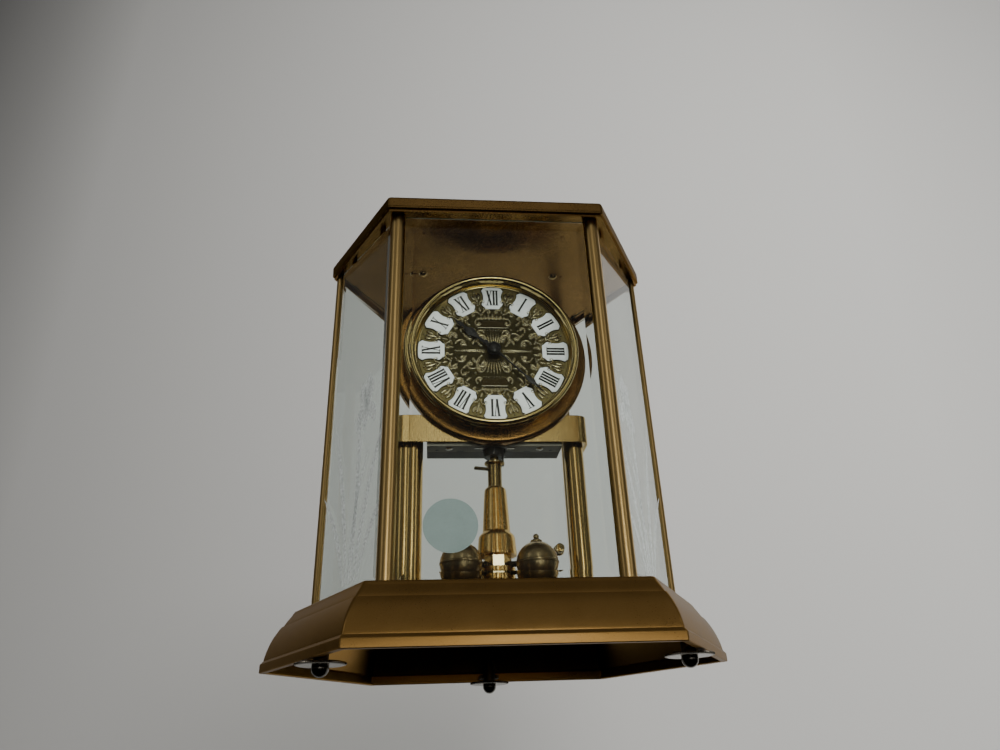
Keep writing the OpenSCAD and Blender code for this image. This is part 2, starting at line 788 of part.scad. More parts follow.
// Wheel and pinion on one arbor: wheel at y, pinion one plane nearer the dial
module train_arbor(at, wheel, wheel_y, leaves, pinion_y, wheel_tooth, pinion_tooth) {
    color(brass) translate([at[0], 0, at[1]]) {
        gear(wheel, train_module, wheel_y, wheel_y + wheel_t, wheel_tooth, 0);
        gear(leaves, train_module, pinion_y, pinion_y + wheel_t, pinion_tooth, 0);
        y_rod(0.35, case_front + shell_t + 0.3, case_back - shell_t - 0.3);
    }
}

module second_wheel() {
    train_arbor(second_at, second_teeth, second_y, leaf, third_y, 180, -30 + 180 / leaf);
}

module third_wheel() {
    train_arbor(third_at, third_teeth, third_y, leaf, centre_y, 150, 240 + 180 / leaf);
}

module centre_wheel() {
    color(brass) translate([0, 0, dial_z])
        gear(centre_teeth, train_module, centre_y, centre_y + wheel_t, 60, arbor_r + 1 + run);
}

// Arbor that carries the minute hand, with its cannon pinion and the sleeve of the friction clutch
module minute_arbor() {
    color(brass) translate([0, 0, dial_z]) {
        y_rod(arbor_r, dial_y - 5.4, case_back - 0.5);
        gear(cannon_teeth, set_module, cannon_y, cannon_y + wheel_t, -90 + 180 / cannon_teeth, 0);
        y_rod(arbor_r + 1, cannon_y + wheel_t, centre_y + wheel_t + 0.5);
    }
}

// Wheel and pipe that carry the hour hand
module hour_wheel() {
    color(brass) translate([0, 0, dial_z]) {
        gear(hour_teeth, hour_module, hour_wheel_y, hour_wheel_y + wheel_t, -90 + 180 / hour_teeth,
            arbor_r + run);
        y_tube(pipe_r, arbor_r + run, dial_y - 3, hour_wheel_y);
    }
}

module motion_wheel() {
    color(brass) translate([0, 0, motion_z]) {
        gear(motion_teeth, set_module, cannon_y, cannon_y + wheel_t, 90, 0);
        gear(hour_pinion, hour_module, hour_wheel_y, cannon_y, 90, 0);
        y_rod(1, hour_wheel_y - 0.3, hour_wheel_y);
        y_rod(1.5, cannon_y + wheel_t, case_back + 1.5);
    }
}

module setting_knob() {
    knob_t = 4;
    color(black) translate([0, case_back + 1.5 + knob_t, motion_z]) rotate([90, 0, 0])
        linear_extrude(height = knob_t) knurled(5.5, 30, 0.4);
}

module battery() {
    y = (case_front + case_back) / 2;
    color([0.7, 0.7, 0.2]) translate([-24.5, y, battery_z]) rotate([0, 90, 0]) {
        cylinder(d = 14.2, h = 48.5);
        cylinder(d = 5.2, h = 50);
    }
}

// ---------- pendulum ----------

module at_pendulum(h) {
    translate([0, pend_y, floor_z + h]) children();
}

// Driven disc in the movement's lower opening, with its pin
module drive_rotor() {
    color(black) at_pendulum(stem_top - 3.4) difference() {
        cylinder(r = 6, h = 6);
        translate([0, 0, -1]) cylinder(r = 2.5, h = 4.4);
    }
    color(brass) at_pendulum(collar_z - 1) translate([5.1, 0, 0]) cylinder(r = 0.6, h = stem_top - 3.4 - collar_z + 1);
}

module pendulum_stem() {
    color(brass) at_pendulum(0) difference() {
        rotate_extrude() polygon([
            [0, body_top], [4.2, body_top], [4.2, collar_z - 0.8], [6, collar_z], [6, collar_z + 1.2],
            [2.5, collar_z + 1.2], [2.5, stem_top], [0, stem_top]
        ]);
        translate([5.1, 0, collar_z - 2]) cylinder(r = 0.7, h = 5);
    }
    color(dark_bronze) at_pendulum(collar_z - 4) rotate([0, 0, 195]) translate([3.6, -1.2, 0]) cube([9, 2.4, 1.6]);
}

// Waisted bell with three groups of reeds
module pendulum_body() {
    reed_r = 0.6;
    reed_gap = 17;
    color(bronze) at_pendulum(0) difference() {
        rotate_extrude() polygon([
            [0, body_low], [11, body_low], [10.4, body_low + 10], [9.6, body_low + 12], [7.9, body_low + 13.5],
            [7, body_low + 28], [6.4, body_top - 3], [5.4, body_top - 0.8], [4.4, body_top], [0, body_top]
        ]);
        for (k = [0:2]) for (j = [-1, 0, 1]) rotate([0, 0, -86 + 120 * k + reed_gap * j])
            translate([8.15, 0, body_low + 13]) rotate([0, -2.6, 0]) cylinder(r = reed_r, h = 40);
    }
}

module pendulum_hub() {
    color(bronze) at_pendulum(0) {
        translate([0, 0, hub_low]) rotate([0, 0, 22.5])
            cylinder(r = hub_flats / 2 / cos(22.5), h = body_low - hub_low, $fn = 8);
        for (k = ball_angles) rotate([0, 0, k])
            translate([0, 0, ball_h + 1]) rotate([0, 90, 0]) cylinder(r = 1.6, h = ball_r - ball_d / 2 + 0.2);
        rotate_extrude() polygon([
            [0, foot_clear], [4, foot_clear], [5.5, foot_clear + 1.5], [8.5, hub_low - 6.5], [10, hub_low - 2],
            [10, hub_low], [0, hub_low]
        ]);
    }
}

// Each ball has a seam round its middle and a finial on top
module pendulum_balls() {
    r = ball_d / 2;
    color(dark_bronze) at_pendulum(ball_h) for (k = ball_angles) rotate([0, 0, k])
        translate([ball_r, 0, 0]) difference() {
            union() {
                sphere(r = r);
                translate([0, 0, -0.4]) cylinder(r = r + 0.3, h = 0.8);
                translate([0, 0, r - 0.6]) cylinder(r = 3.1, h = 1.6);
                translate([0, 0, r + 0.9]) cylinder(r = 1.9, h = 1);
                translate([0, 0, r + 2.8]) sphere(r = 1.6);
            }
            translate([-ball_r, 0, 1]) rotate([0, 90, 0]) cylinder(r = 1.6 + 0.02, h = ball_r - r + 0.25);
        }
}

base_shell();
foot_brackets();
foot_ball(0);  // foot_ball_left
foot_ball(1);  // foot_ball_right
foot_ball(2);  // foot_ball_rear
foot_screw(0);  // foot_screw_left
foot_screw(1);  // foot_screw_right
foot_screw(2);  // foot_screw_rear
floor_plate();
ceiling_plate();
cap();
cap_screws();
post(post_places()[0], [0, 180 - side_turn]);  // post_front_left
post(post_places()[1], [180, side_turn]);  // post_front_right
post(post_places()[2], [-side_turn, side_turn]);  // post_side_left
post(post_places()[3], [180 + side_turn, 180 - side_turn]);  // post_side_right
post(post_places()[4], [180 + side_turn]);  // post_rear_left
post(post_places()[5], [-side_turn]);  // post_rear_right
frame_screws();
glass_front();
side_glass(-1, -1);  // glass_front_left
side_glass(1, -1);  // glass_front_right
side_glass(-1, 1);  // glass_rear_left
side_glass(1, 1);  // glass_rear_right
glass_tabs();
glass_label();
door_glass();
door_clips();
door_knob();
column(-1);  // column_left
column(1);  // column_right
bridge();
bezel_housing();
bezel_lip();
dial_plate();
numeral_plates();
name_plates();
hour_hand();
minute_hand();
minute_arbor();
hand_nut();
movement_case();
movement_cover();
movement_screws();
circuit_board();
coil();
stator();
rotor();
second_wheel();
third_wheel();
centre_wheel();
motion_wheel();
hour_wheel();
setting_knob();
battery();
drive_rotor();
pendulum_stem();
pendulum_body();
pendulum_hub();
pendulum_balls();
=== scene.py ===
"""Anniversary clock: the shape and finish of every visible piece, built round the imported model.
Shapes are drawn in millimetres and made in metres."""

import bmesh
import bpy
import json
import math
from mathutils import Matrix, Vector

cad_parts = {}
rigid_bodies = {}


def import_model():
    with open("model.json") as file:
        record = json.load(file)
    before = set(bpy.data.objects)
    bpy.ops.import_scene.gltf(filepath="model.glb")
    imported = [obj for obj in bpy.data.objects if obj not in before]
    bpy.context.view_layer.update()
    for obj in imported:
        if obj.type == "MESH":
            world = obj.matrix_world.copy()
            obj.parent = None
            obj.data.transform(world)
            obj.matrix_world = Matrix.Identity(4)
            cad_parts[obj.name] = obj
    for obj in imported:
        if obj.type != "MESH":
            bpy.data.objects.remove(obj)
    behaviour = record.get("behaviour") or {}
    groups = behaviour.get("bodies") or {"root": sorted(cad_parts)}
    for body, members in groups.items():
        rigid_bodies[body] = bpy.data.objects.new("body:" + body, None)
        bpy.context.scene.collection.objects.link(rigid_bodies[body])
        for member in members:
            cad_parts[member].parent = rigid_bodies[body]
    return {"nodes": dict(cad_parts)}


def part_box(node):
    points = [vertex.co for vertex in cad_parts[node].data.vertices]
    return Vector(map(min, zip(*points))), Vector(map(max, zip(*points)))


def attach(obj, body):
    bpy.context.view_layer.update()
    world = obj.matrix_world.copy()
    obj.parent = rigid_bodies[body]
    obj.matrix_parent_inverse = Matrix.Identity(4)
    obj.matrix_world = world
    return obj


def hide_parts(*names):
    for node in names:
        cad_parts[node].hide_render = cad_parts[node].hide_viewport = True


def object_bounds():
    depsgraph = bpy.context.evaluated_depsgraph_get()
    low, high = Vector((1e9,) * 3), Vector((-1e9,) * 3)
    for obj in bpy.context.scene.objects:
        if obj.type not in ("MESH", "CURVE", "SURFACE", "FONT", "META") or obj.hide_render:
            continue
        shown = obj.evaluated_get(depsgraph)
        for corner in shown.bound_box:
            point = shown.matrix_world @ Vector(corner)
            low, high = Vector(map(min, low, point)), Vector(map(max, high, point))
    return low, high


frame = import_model()
cad_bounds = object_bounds()

# ---- Base moulding ----
# A hollow six-sided moulding pressed from 1.3 mm brass sheet: a plain band, a convex slope, a crease
# and a cove up to the rim. Its lower edge is folded inward. Antique bronze lacquer, satin.
MM = 0.001


def box(node):
    low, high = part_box(node)
    return [c / MM for c in low], [c / MM for c in high]


def middle(node):
    low, high = box(node)
    return [(a + b) / 2 for a, b in zip(low, high)]


class Form:
    """Collects points and faces of one piece."""

    def __init__(self):
        self.points = []
        self.faces = []

    def add(self, points, faces, place=None):
        start = len(self.points)
        if place is not None:
            points = [place @ Vector(p) for p in points]
        self.points += [tuple(p) for p in points]
        self.faces += [[start + i for i in face] for face in faces]

    def loft(self, rings, place=None, ends=True, joined=False, open_ring=False):
        """Skins equal rings. joined closes the last ring to the first."""
        n = len(rings[0])
        points = [p for ring in rings for p in ring]
        faces = []
        last = len(rings) if joined else len(rings) - 1
        for i in range(last):
            k = (i + 1) % len(rings)
            for j in range(n - 1 if open_ring else n):
                m = (j + 1) % n
                faces.append([i * n + j, i * n + m, k * n + m, k * n + j])
        if ends and not joined:
            faces.append(list(range(n)))
            faces.append([(len(rings) - 1) * n + j for j in range(n)])
        self.add(points, faces, place)

    def lathe(self, profile, place=None, steps=96, ends=True, joined=False):
        """Turns [radius, height] about the local Z axis."""
        rings = [circle(max(r, 0.01), h, steps) for r, h in profile]
        self.loft(rings, place, ends, joined)

    def block(self, low, high, place=None, soft=0.0):
        """A box whose edges are broken by soft."""
        rings = []
        for z, s in ((low[2], soft), (low[2] + soft, 0), (high[2] - soft, 0), (high[2], soft)):
            rings.append(rounded([(low[0] + s, low[1] + s), (high[0] - s, low[1] + s),
                                  (high[0] - s, high[1] - s), (low[0] + s, high[1] - s)],
                                 z, soft + 0.01, 3))
        self.loft(rings, place)

    def piece(self, name, body, material, slot, *nodes, sharp=32):
        mesh = bpy.data.meshes.new(name)
        mesh.from_pydata([(x * MM, y * MM, z * MM) for x, y, z in self.points], [], self.faces)
        tidy = bmesh.new()
        tidy.from_mesh(mesh)
        bmesh.ops.remove_doubles(tidy, verts=tidy.verts, dist=1e-7)
        bmesh.ops.recalc_face_normals(tidy, faces=tidy.faces)
        tidy.to_mesh(mesh)
        tidy.free()
        mesh.shade_smooth()
        mesh.set_sharp_from_angle(angle=math.radians(sharp))
        mesh.materials.append(material)
        thing = bpy.data.objects.new(name, mesh)
        bpy.context.scene.collection.objects.link(thing)
        even = thing.modifiers.new("even_normals", "WEIGHTED_NORMAL")
        even.keep_sharp = True
        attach(thing, body)
        if nodes:
            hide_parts(*nodes)
        return thing


def circle(r, z, steps=96, start=0.0):
    turn = 2 * math.pi / steps
    return [(r * math.cos(start + i * turn), r * math.sin(start + i * turn), z)
            for i in range(steps)]


def rounded(corners, z, r, steps=5):
    """A closed outline at height z whose corners are rounded to about r."""
    ring = []
    for i, corner in enumerate(corners):
        here = Vector(corner)
        back = Vector(corners[i - 1]) - here
        on = Vector(corners[(i + 1) % len(corners)]) - here
        half = back.angle(on) / 2
        reach = min(r / math.tan(half), 0.45 * back.length, 0.45 * on.length)
        start = here + back.normalized() * reach
        end = here + on.normalized() * reach
        for k in range(steps + 1):
            t = k / steps
            p = start * (1 - t) ** 2 + here * 2 * t * (1 - t) + end * t * t
            ring.append((p.x, p.y, z))
    return ring


# The six-sided outline, moved out by d from the cap's, is known from the boxes of cap and base
cap_low, cap_high = box("cap")
base_low, base_high = box("base_shell")
spread = base_high[1] - cap_high[1]
slant = math.acos(spread / (base_high[0] - cap_high[0]))
cap_front = cap_high[0] - cap_high[1] * math.tan(slant)
corner_run = (1 - math.sin(slant)) / math.cos(slant)


def hexagon(d, z, r=1.6, steps=5):
    a = cap_front + d * corner_run
    b = cap_high[1] + d
    s = cap_high[0] + d / math.cos(slant)
    return rounded([(-a, -b), (a, -b), (s, 0), (a, b), (-a, b), (-s, 0)], z, r, steps)


def tint(r, g, b):
    """A colour given as it is seen, 0 to 255, for a shader."""
    return tuple((c / 255 / 12.92 if c <= 10 else ((c / 255 + 0.055) / 1.055) ** 2.4)
                 for c in (r, g, b)) + (1.0,)


def group(name, inputs, outputs):
    """A shader node group and its two end nodes."""
    tree = bpy.data.node_groups.new(name, "ShaderNodeTree")
    for label, kind, value in inputs:
        socket = tree.interface.new_socket(label, in_out="INPUT", socket_type="NodeSocket" + kind)
        socket.default_value = value
    for label, kind in outputs:
        tree.interface.new_socket(label, in_out="OUTPUT", socket_type="NodeSocket" + kind)
    return tree, tree.nodes.new("NodeGroupInput"), tree.nodes.new("NodeGroupOutput")


def node(tree, kind, **settings):
    """Adds a node. Settings with a leading capital are sockets, the rest are properties."""
    made = tree.nodes.new("ShaderNode" + kind)
    for key, value in settings.items():
        if key[0].isupper() or key[0].isdigit():
            label = key.replace("_", " ")
            socket = made.inputs[int(label)] if label.isdigit() else made.inputs[label]
            if hasattr(value, "is_output"):
                tree.links.new(value, socket)
            else:
                socket.default_value = value
        else:
            setattr(made, key, value)
    return made


def maths(tree, operation, a, b, clamp=False):
    made = tree.nodes.new("ShaderNodeMath")
    made.operation = operation
    made.use_clamp = clamp
    for value, socket in ((a, made.inputs[0]), (b, made.inputs[1])):
        if hasattr(value, "is_output"):
            tree.links.new(value, socket)
        else:
            socket.default_value = value
    return made.outputs[0]


def blend(tree, amount, a, b):
    """Colour a where amount is 0 and b where it is 1."""
    made = tree.nodes.new("ShaderNodeMix")
    made.data_type = "RGBA"
    for value, place in ((amount, 0), (a, 6), (b, 7)):
        if hasattr(value, "is_output"):
            tree.links.new(value, made.inputs[place])
        else:
            made.inputs[place].default_value = value
    return made.outputs[2]


def noise(tree, scale, detail=3.0, stretch=None, kind="TexNoise"):
    """Noise that stays with the piece. Scale is in features for each metre."""
    place = node(tree, "TexCoord").outputs["Object"]
    if stretch is not None:
        mapped = tree.nodes.new("ShaderNodeMapping")
        tree.links.new(place, mapped.inputs["Vector"])
        if hasattr(stretch, "is_output"):
            tree.links.new(stretch, mapped.inputs["Scale"])
        else:
            mapped.inputs["Scale"].default_value = stretch
        place = mapped.outputs[0]
    made = node(tree, kind, Vector=place, Scale=scale)
    if kind == "TexNoise":
        made.inputs["Detail"].default_value = detail
        return made.outputs[0]
    return made.outputs["Distance"]


# Lacquered or bare metal: patchy tone, fine grain along one direction, darker hollows, brighter edges
metal_skin, skin_in, skin_out = group("metal_skin", [
    ("Colour", "Color", (0.5, 0.3, 0.1, 1)), ("Deep", "Color", (0.2, 0.1, 0.05, 1)),
    ("Bright", "Color", (0.8, 0.6, 0.3, 1)), ("Stretch", "Vector", (1, 1, 1)),
    ("Patch", "Float", 60.0), ("Wear", "Float", 0.5), ("Smooth", "Float", 0.2),
    ("Rough", "Float", 0.4), ("Bump", "Float", 0.2)],
    [("Colour", "Color"), ("Roughness", "Float"), ("Normal", "Vector")])
patches = noise(metal_skin, skin_in.outputs["Patch"], 5.0)
grain = noise(metal_skin, 2400.0, 3.0, skin_in.outputs["Stretch"])
speck = noise(metal_skin, 5200.0, 1.0)
mixed = maths(metal_skin, "ADD", maths(metal_skin, "MULTIPLY", patches, 0.8),
              maths(metal_skin, "MULTIPLY", grain, 0.45), True)
base_tone = blend(metal_skin, mixed, skin_in.outputs["Deep"], skin_in.outputs["Colour"])
edge = node(metal_skin, "NewGeometry").outputs["Pointiness"]
ridge = maths(metal_skin, "MULTIPLY", maths(metal_skin, "SUBTRACT", edge, 0.515), 14.0, True)
ridge = maths(metal_skin, "MULTIPLY", ridge, skin_in.outputs["Wear"], True)
hollow = maths(metal_skin, "MULTIPLY", maths(metal_skin, "SUBTRACT", 0.485, edge), 9.0, True)
worn = blend(metal_skin, ridge, base_tone, skin_in.outputs["Bright"])
hollow = maths(metal_skin, "MULTIPLY", hollow, skin_in.outputs["Wear"], True)
worn = blend(metal_skin, maths(metal_skin, "MULTIPLY", hollow, 0.9), worn, skin_in.outputs["Deep"])
metal_skin.links.new(worn, skin_out.inputs["Colour"])
uneven = maths(metal_skin, "ADD", maths(metal_skin, "MULTIPLY", grain, 0.6),
               maths(metal_skin, "MULTIPLY", patches, 0.4))
gloss = node(metal_skin, "MapRange", Value=uneven, From_Min=0.3, From_Max=0.7,
             To_Min=skin_in.outputs["Smooth"], To_Max=skin_in.outputs["Rough"])
metal_skin.links.new(gloss.outputs[0], skin_out.inputs["Roughness"])
relief = maths(metal_skin, "ADD", grain, maths(metal_skin, "MULTIPLY", speck, 0.5))
bump = node(metal_skin, "Bump", Height=relief, Strength=skin_in.outputs["Bump"], Distance=0.00006)
metal_skin.links.new(bump.outputs[0], skin_out.inputs["Normal"])


def shader(name):
    """A new material with its Principled node."""
    material = bpy.data.materials.new(name)
    material.use_nodes = True
    return material, material.node_tree, material.node_tree.nodes["Principled BSDF"]


def metal(name, colour, deep, bright, smooth, rough, stretch=(1, 1, 1), patch=60.0, wear=0.5,
          bump=0.15, coat=0.0, metallic=1.0, grazing=1.0):
    material, tree, skin = shader(name)
    effect = tree.nodes.new("ShaderNodeGroup")
    effect.node_tree = metal_skin
    for label, value in (("Colour", tint(*colour)), ("Deep", tint(*deep)),
                         ("Bright", tint(*bright)), ("Stretch", stretch), ("Patch", patch),
                         ("Wear", wear), ("Smooth", smooth), ("Rough", rough), ("Bump", bump)):
        effect.inputs[label].default_value = value
    tree.links.new(effect.outputs["Colour"], skin.inputs["Base Color"])
    tree.links.new(effect.outputs["Roughness"], skin.inputs["Roughness"])
    tree.links.new(effect.outputs["Normal"], skin.inputs["Normal"])
    skin.inputs["Metallic"].default_value = metallic
    skin.inputs["Coat Weight"].default_value = coat
    skin.inputs["Coat Roughness"].default_value = 0.12
    skin.inputs["Specular Tint"].default_value = (grazing, grazing * 0.97, grazing * 0.94, 1.0)
    return material


base_bronze = metal("base_bronze", (196, 156, 92), (158, 120, 64), (236, 206, 150), 0.26, 0.36,
                    stretch=(0.5, 1.0, 1.0), patch=45.0, wear=0.0, bump=0.05, coat=0.12, grazing=0.4)

# The section: [inset from the lower edge, height above it]
band_h = 4.5
slope_in = 1.5
slope_low = 6.3
slope_run = 6.6
slope_rise = 16.3
cove_step = 0.8
rim_in = 12.6
rim_z = base_high[2] - base_low[2]
rim_low = rim_z - 1.8
wall = 1.3
fold = 2.2
slope_start = math.radians(9)
slope_end = 2 * math.atan2(slope_run, slope_rise) - slope_start
slope_r = math.hypot(slope_run, slope_rise) / (2 * math.sin((slope_end - slope_start) / 2))
crease = [slope_in + slope_run, slope_low + slope_rise]


def slope(steps, t):
    """The convex slope, moved in by t."""
    turns = [slope_start + (slope_end - slope_start) * i / steps for i in range(steps + 1)]
    return [[slope_in + slope_r * math.cos(slope_start) - (slope_r - t) * math.cos(a),
             slope_low - slope_r * math.sin(slope_start) + (slope_r - t) * math.sin(a)] for a in turns]


def cove(steps, t):
    """The shallow hollow between the crease and the rim, moved in by t."""
    run_in, rise = rim_in - crease[0] - cove_step, rim_low - crease[1]
    length = math.hypot(run_in, rise)
    out = []
    for i in range(steps + 1):
        u = i / steps
        sag = 1.2 * u * (1 - u) + t
        out.append([crease[0] + cove_step + run_in * u ** 1.5 + rise / length * sag,
                    crease[1] + rise * u - run_in / length * sag])
    return out


section = [[0.3, 0.0], [0.0, 0.35], [0.0, band_h - 0.5], [0.3, band_h],
           [slope_in - 0.5, slope_low - 1.0], [slope_in, slope_low - 0.4]]
section += slope(22, 0) + [[crease[0] + cove_step - 0.1, crease[1] - 0.25]] + cove(16, 0)
section += [[rim_in + 0.35, rim_z - 1.1], [rim_in + 0.75, rim_z - 0.5], [rim_in + 0.95, rim_z - 0.2],
            [rim_in + 1.2, rim_z], [rim_in + 2.1, rim_z], [rim_in + 2.4, rim_z - 0.3],
            [rim_in + 2.4, rim_z - 1.7], [rim_in + 6.4, rim_z - 1.7], [rim_in + 6.4, rim_z - 2.9],
            [rim_in + wall, rim_z - 2.9]]
section += cove(10, wall)[::-1] + slope(14, wall)[::-1]
section += [[wall, band_h + 0.6], [wall, wall + 0.5], [wall + 0.5, wall], [fold + wall, wall],
            [fold + wall, 0.3], [fold + wall - 0.3, 0.0]]
shell = Form()
shell.loft([hexagon(spread - inset, base_low[2] + h, 1.4 + 0.04 * h) for inset, h in section],
           joined=True)
shell.piece("base_moulding", "case", base_bronze, "antique_bronze", "base_shell")

# ---- Levelling feet ----
# Three feet: a blackened steel ball, and above it a knurled disc on a threaded shank that turns in a
# brazed bracket. The disc is what the fingers turn to level the clock.
blackened = metal("blackened_steel", (92, 88, 82), (48, 46, 42), (160, 150, 132), 0.16, 0.3,
                  patch=180.0, wear=0.5, bump=0.06, coat=0.4)
bracket_iron = metal("bracket_steel", (92, 80, 60), (44, 36, 26), (150, 130, 96), 0.3, 0.5,
                     patch=120.0, wear=0.4, bump=0.25)
knurls = 60
disc_r = 12.0
ball_top_r = 1.35
thread_pitch = 0.7


def turned_ball(low, high, r, bottom, top, steps):
    """Profile of a ball that is cut flat at both ends."""
    centre = bottom + math.sqrt(r * r - low * low)
    a0 = -math.acos(low / r)
    a1 = math.acos(high / r)
    return [[r * math.cos(a0 + (a1 - a0) * i / steps), centre + r * math.sin(a0 + (a1 - a0) * i / steps)]
            for i in range(steps + 1)]


for side in ("left", "right", "rear"):
    x, y, z = middle("foot_ball_" + side)
    low, high = box("foot_ball_" + side)
    r = (high[0] - low[0]) / 2
    flat = math.sqrt(r * r - (r - low[2]) ** 2)
    foot = Form()
    foot.lathe(turned_ball(flat, ball_top_r, r, low[2], high[2], 26), Matrix.Translation((x, y, 0)), 64)
    foot.piece("foot_ball_black_" + side, "foot_" + side, blackened, "black_steel",
               "foot_ball_" + side)
    low, high = box("foot_screw_" + side)
    disc_z = low[2] + 2.15
    disc = Form()
    rings = []
    for h, cut in ((disc_z, 0.9), (disc_z + 0.3, 0.15), (disc_z + 0.75, 0.0), (disc_z + 1.2, 0.15),
                   (disc_z + 1.5, 0.9)):
        ring = []
        for i in range(4 * knurls):
            a = 2 * math.pi * i / (4 * knurls)
            notch = (0.0, 0.22, 0.5, 0.22)[i % 4] if cut < 0.5 else 0.3
            reach = disc_r - cut - notch
            ring.append((reach * math.cos(a), reach * math.sin(a), h))
        rings.append(ring)
    place = Matrix.Translation((x, y, 0))
    disc.loft(rings, place)
    disc.lathe([[1.15, low[2]], [1.2, low[2] + 0.2], [1.2, disc_z + 0.1]], place, 32)
    disc.lathe([[3.6, disc_z + 1.4], [3.6, disc_z + 1.9], [3.2, disc_z + 2.2], [1.7, disc_z + 2.25]],
               place, 48)
    thread = []
    turns = int((high[2] - disc_z - 2.6) / thread_pitch)
    for i in range(turns * 2 + 1):
        h = disc_z + 2.2 + i * thread_pitch / 2
        thread.append([1.66 if i % 2 == 0 else 1.98, h])
    thread.append([1.4, high[2]])
    disc.lathe(thread, place, 32)
    disc.piece("foot_disc_" + side, "foot_%s_screw" % side, blackened, "black_steel",
               "foot_screw_" + side)


def dress(nodes, material, edge=0.0):
    """Gives CAD pieces their material, and breaks their edges without touching their mesh."""
    for name in nodes.split():
        cad = frame["nodes"][name]
        for place in cad.material_slots:
            place.material = material
        if edge:
            normals = cad.data.attributes.get("custom_normal")
            if normals is not None:
                cad.data.attributes.remove(normals)
            cad.data.shade_smooth()
            weld = cad.modifiers.new("weld", "WELD")
            weld.merge_threshold = 1e-6
            soft = cad.modifiers.new("soft_edges", "BEVEL")
            soft.width = edge * MM
            soft.segments = 2
            soft.limit_method = "ANGLE"
            soft.angle_limit = math.radians(32)
            even = cad.modifiers.new("even_normals", "WEIGHTED_NORMAL")
            even.keep_sharp = True


dress("foot_brackets", bracket_iron, 0.25)

# ---- Floor ----
# Flat sheet that drops into the rim of the base and carries the posts and the columns. It is cut from
# the same bronze stock.
floor_bronze = metal("floor_bronze", (120, 92, 52), (84, 62, 32), (200, 170, 118), 0.2, 0.32,
                     patch=50.0, wear=0.0, bump=0.08)
dress("floor_plate", floor_bronze)

# ---- Posts ----
# Six drawn brass rods, slotted lengthways for the glass and tapped at both ends. Satin bronze with a
# fine grain.
post_bronze = metal("post_bronze", (212, 182, 122), (200, 170, 110), (246, 222, 168), 0.27, 0.3,
                    patch=40.0, wear=0.0, bump=0.0)
glass_t = box("glass_front")[1][1] - box("glass_front")[0][1]
slot_w = glass_t / 2 + 0.1
bite = 1.7
corner_r = 4.5
side_r = 3.0


def post(name, towards):
    """A rod with a slot for the glass in each direction of towards."""
    low, high = box(name)
    x, y, _ = middle(name)
    tall = high[2] - low[2]
    front = "front" in name
    r = side_r if "side" in name else corner_r
    outline = [(px, py) for px, py, _ in circle(r, 0, 120)]
    for heading in towards:
        keep = []
        across = Vector((-math.sin(heading), math.cos(heading)))
        along = Vector((math.cos(heading), math.sin(heading)))
        edge_at = math.sqrt(r * r - slot_w * slot_w)
        mouth = [along * edge_at - across * slot_w, along * (r - bite) - across * slot_w,
                 along * (r - bite) + across * slot_w, along * edge_at + across * slot_w]
        placed = False
        for p in outline:
            v = Vector(p)
            inside = v.dot(along) > edge_at - 0.01 and abs(v.dot(across)) < slot_w + 0.01
            if inside and not placed:
                keep += [tuple(m) for m in mouth]
                placed = True
            if not inside:
                keep.append(p)
        outline = keep
    rod = Form()
    # The box of a grooved rod is smaller on the grooved sides, so the axis comes from the far ones
    cx = high[0] - r if x > 0 else low[0] + r
    cy = 0.0 if "side" in name else (low[1] + r if front else high[1] - r)
    rings = []
    for h, s in ((0.0, 0.95), (0.3, 1.0), (tall - 0.3, 1.0), (tall, 0.95)):
        rings.append([(cx + px * s, cy + py * s, low[2] + h) for px, py in outline])
    rod.loft(rings)
    rod.piece(name + "_rod", "case", post_bronze, "antique_bronze", name, sharp=40)


def order(headings):
    """Headings in the order in which an outline that starts at 0 meets them."""
    return sorted(h % (2 * math.pi) for h in headings)


# lean is the turn of the slanted sides, seen from above
corner_x = box("post_front_right")[1][0] - corner_r
corner_y = box("post_front_right")[0][1] + corner_r
side_x = box("post_side_right")[1][0] - side_r
lean = math.atan2(-corner_y, side_x - corner_x)
posts = {
    "post_front_left": [0, math.pi - lean], "post_front_right": [math.pi, lean],
    "post_side_left": [-lean, lean], "post_side_right": [math.pi + lean, math.pi - lean],
    "post_rear_left": [math.pi + lean], "post_rear_right": [-lean]}
for name, headings in posts.items():
    post(name, order(headings))

# ---- Ceiling and cap ----
# The ceiling is a sheet with a short lip that stands inside the cap's edge. The cap is a shallow drawn
# lid with rounded shoulders. Both are bronzed, the ceiling glossier and darker.
ceiling_bronze = metal("ceiling_bronze", (156, 120, 68), (118, 86, 44), (200, 164, 108), 0.2, 0.3,
                       patch=30.0, wear=0.0, bump=0.05)
cap_bronze = metal("cap_bronze", (160, 128, 76), (132, 102, 58), (226, 192, 136), 0.24, 0.34,
                   stretch=(0.5, 1.0, 1.0), patch=42.0, wear=0.0, bump=0.06, coat=0.05, grazing=0.3)
dress("ceiling_plate", ceiling_bronze)
cap_base = cap_low[2]
cap_h = cap_high[2] - cap_base
shoulder = 2.0
lid = [[0.25, 0.0], [0.0, 0.3], [0.0, 1.1], [0.16, 1.3], [0.0, 1.5], [0.0, cap_h - shoulder]]
lid += [[shoulder * (1 - math.cos(a)), cap_h - shoulder + shoulder * math.sin(a)]
        for a in [math.pi / 2 * i / 9 for i in range(1, 10)]]
cap_wall = 1.2
core = 60.0
boss_r = 3.0
cap_screw_x = 44.0
cap_screw_y = middle("cap_screws")[1]
cap = Form()
cap.loft([hexagon(-inset, cap_base + h, 2.2) for inset, h in lid + [[9.0, cap_h]]], ends=False)
inner = [[0.25, 0.0], [cap_wall, 0.0], [cap_wall, cap_h - cap_wall], [9.0, cap_h - cap_wall],
         [core, cap_h - cap_wall], [core, cap_h], [9.0, cap_h]]
cap.loft([hexagon(-inset, cap_base + h, 2.2) for inset, h in inner], ends=False)
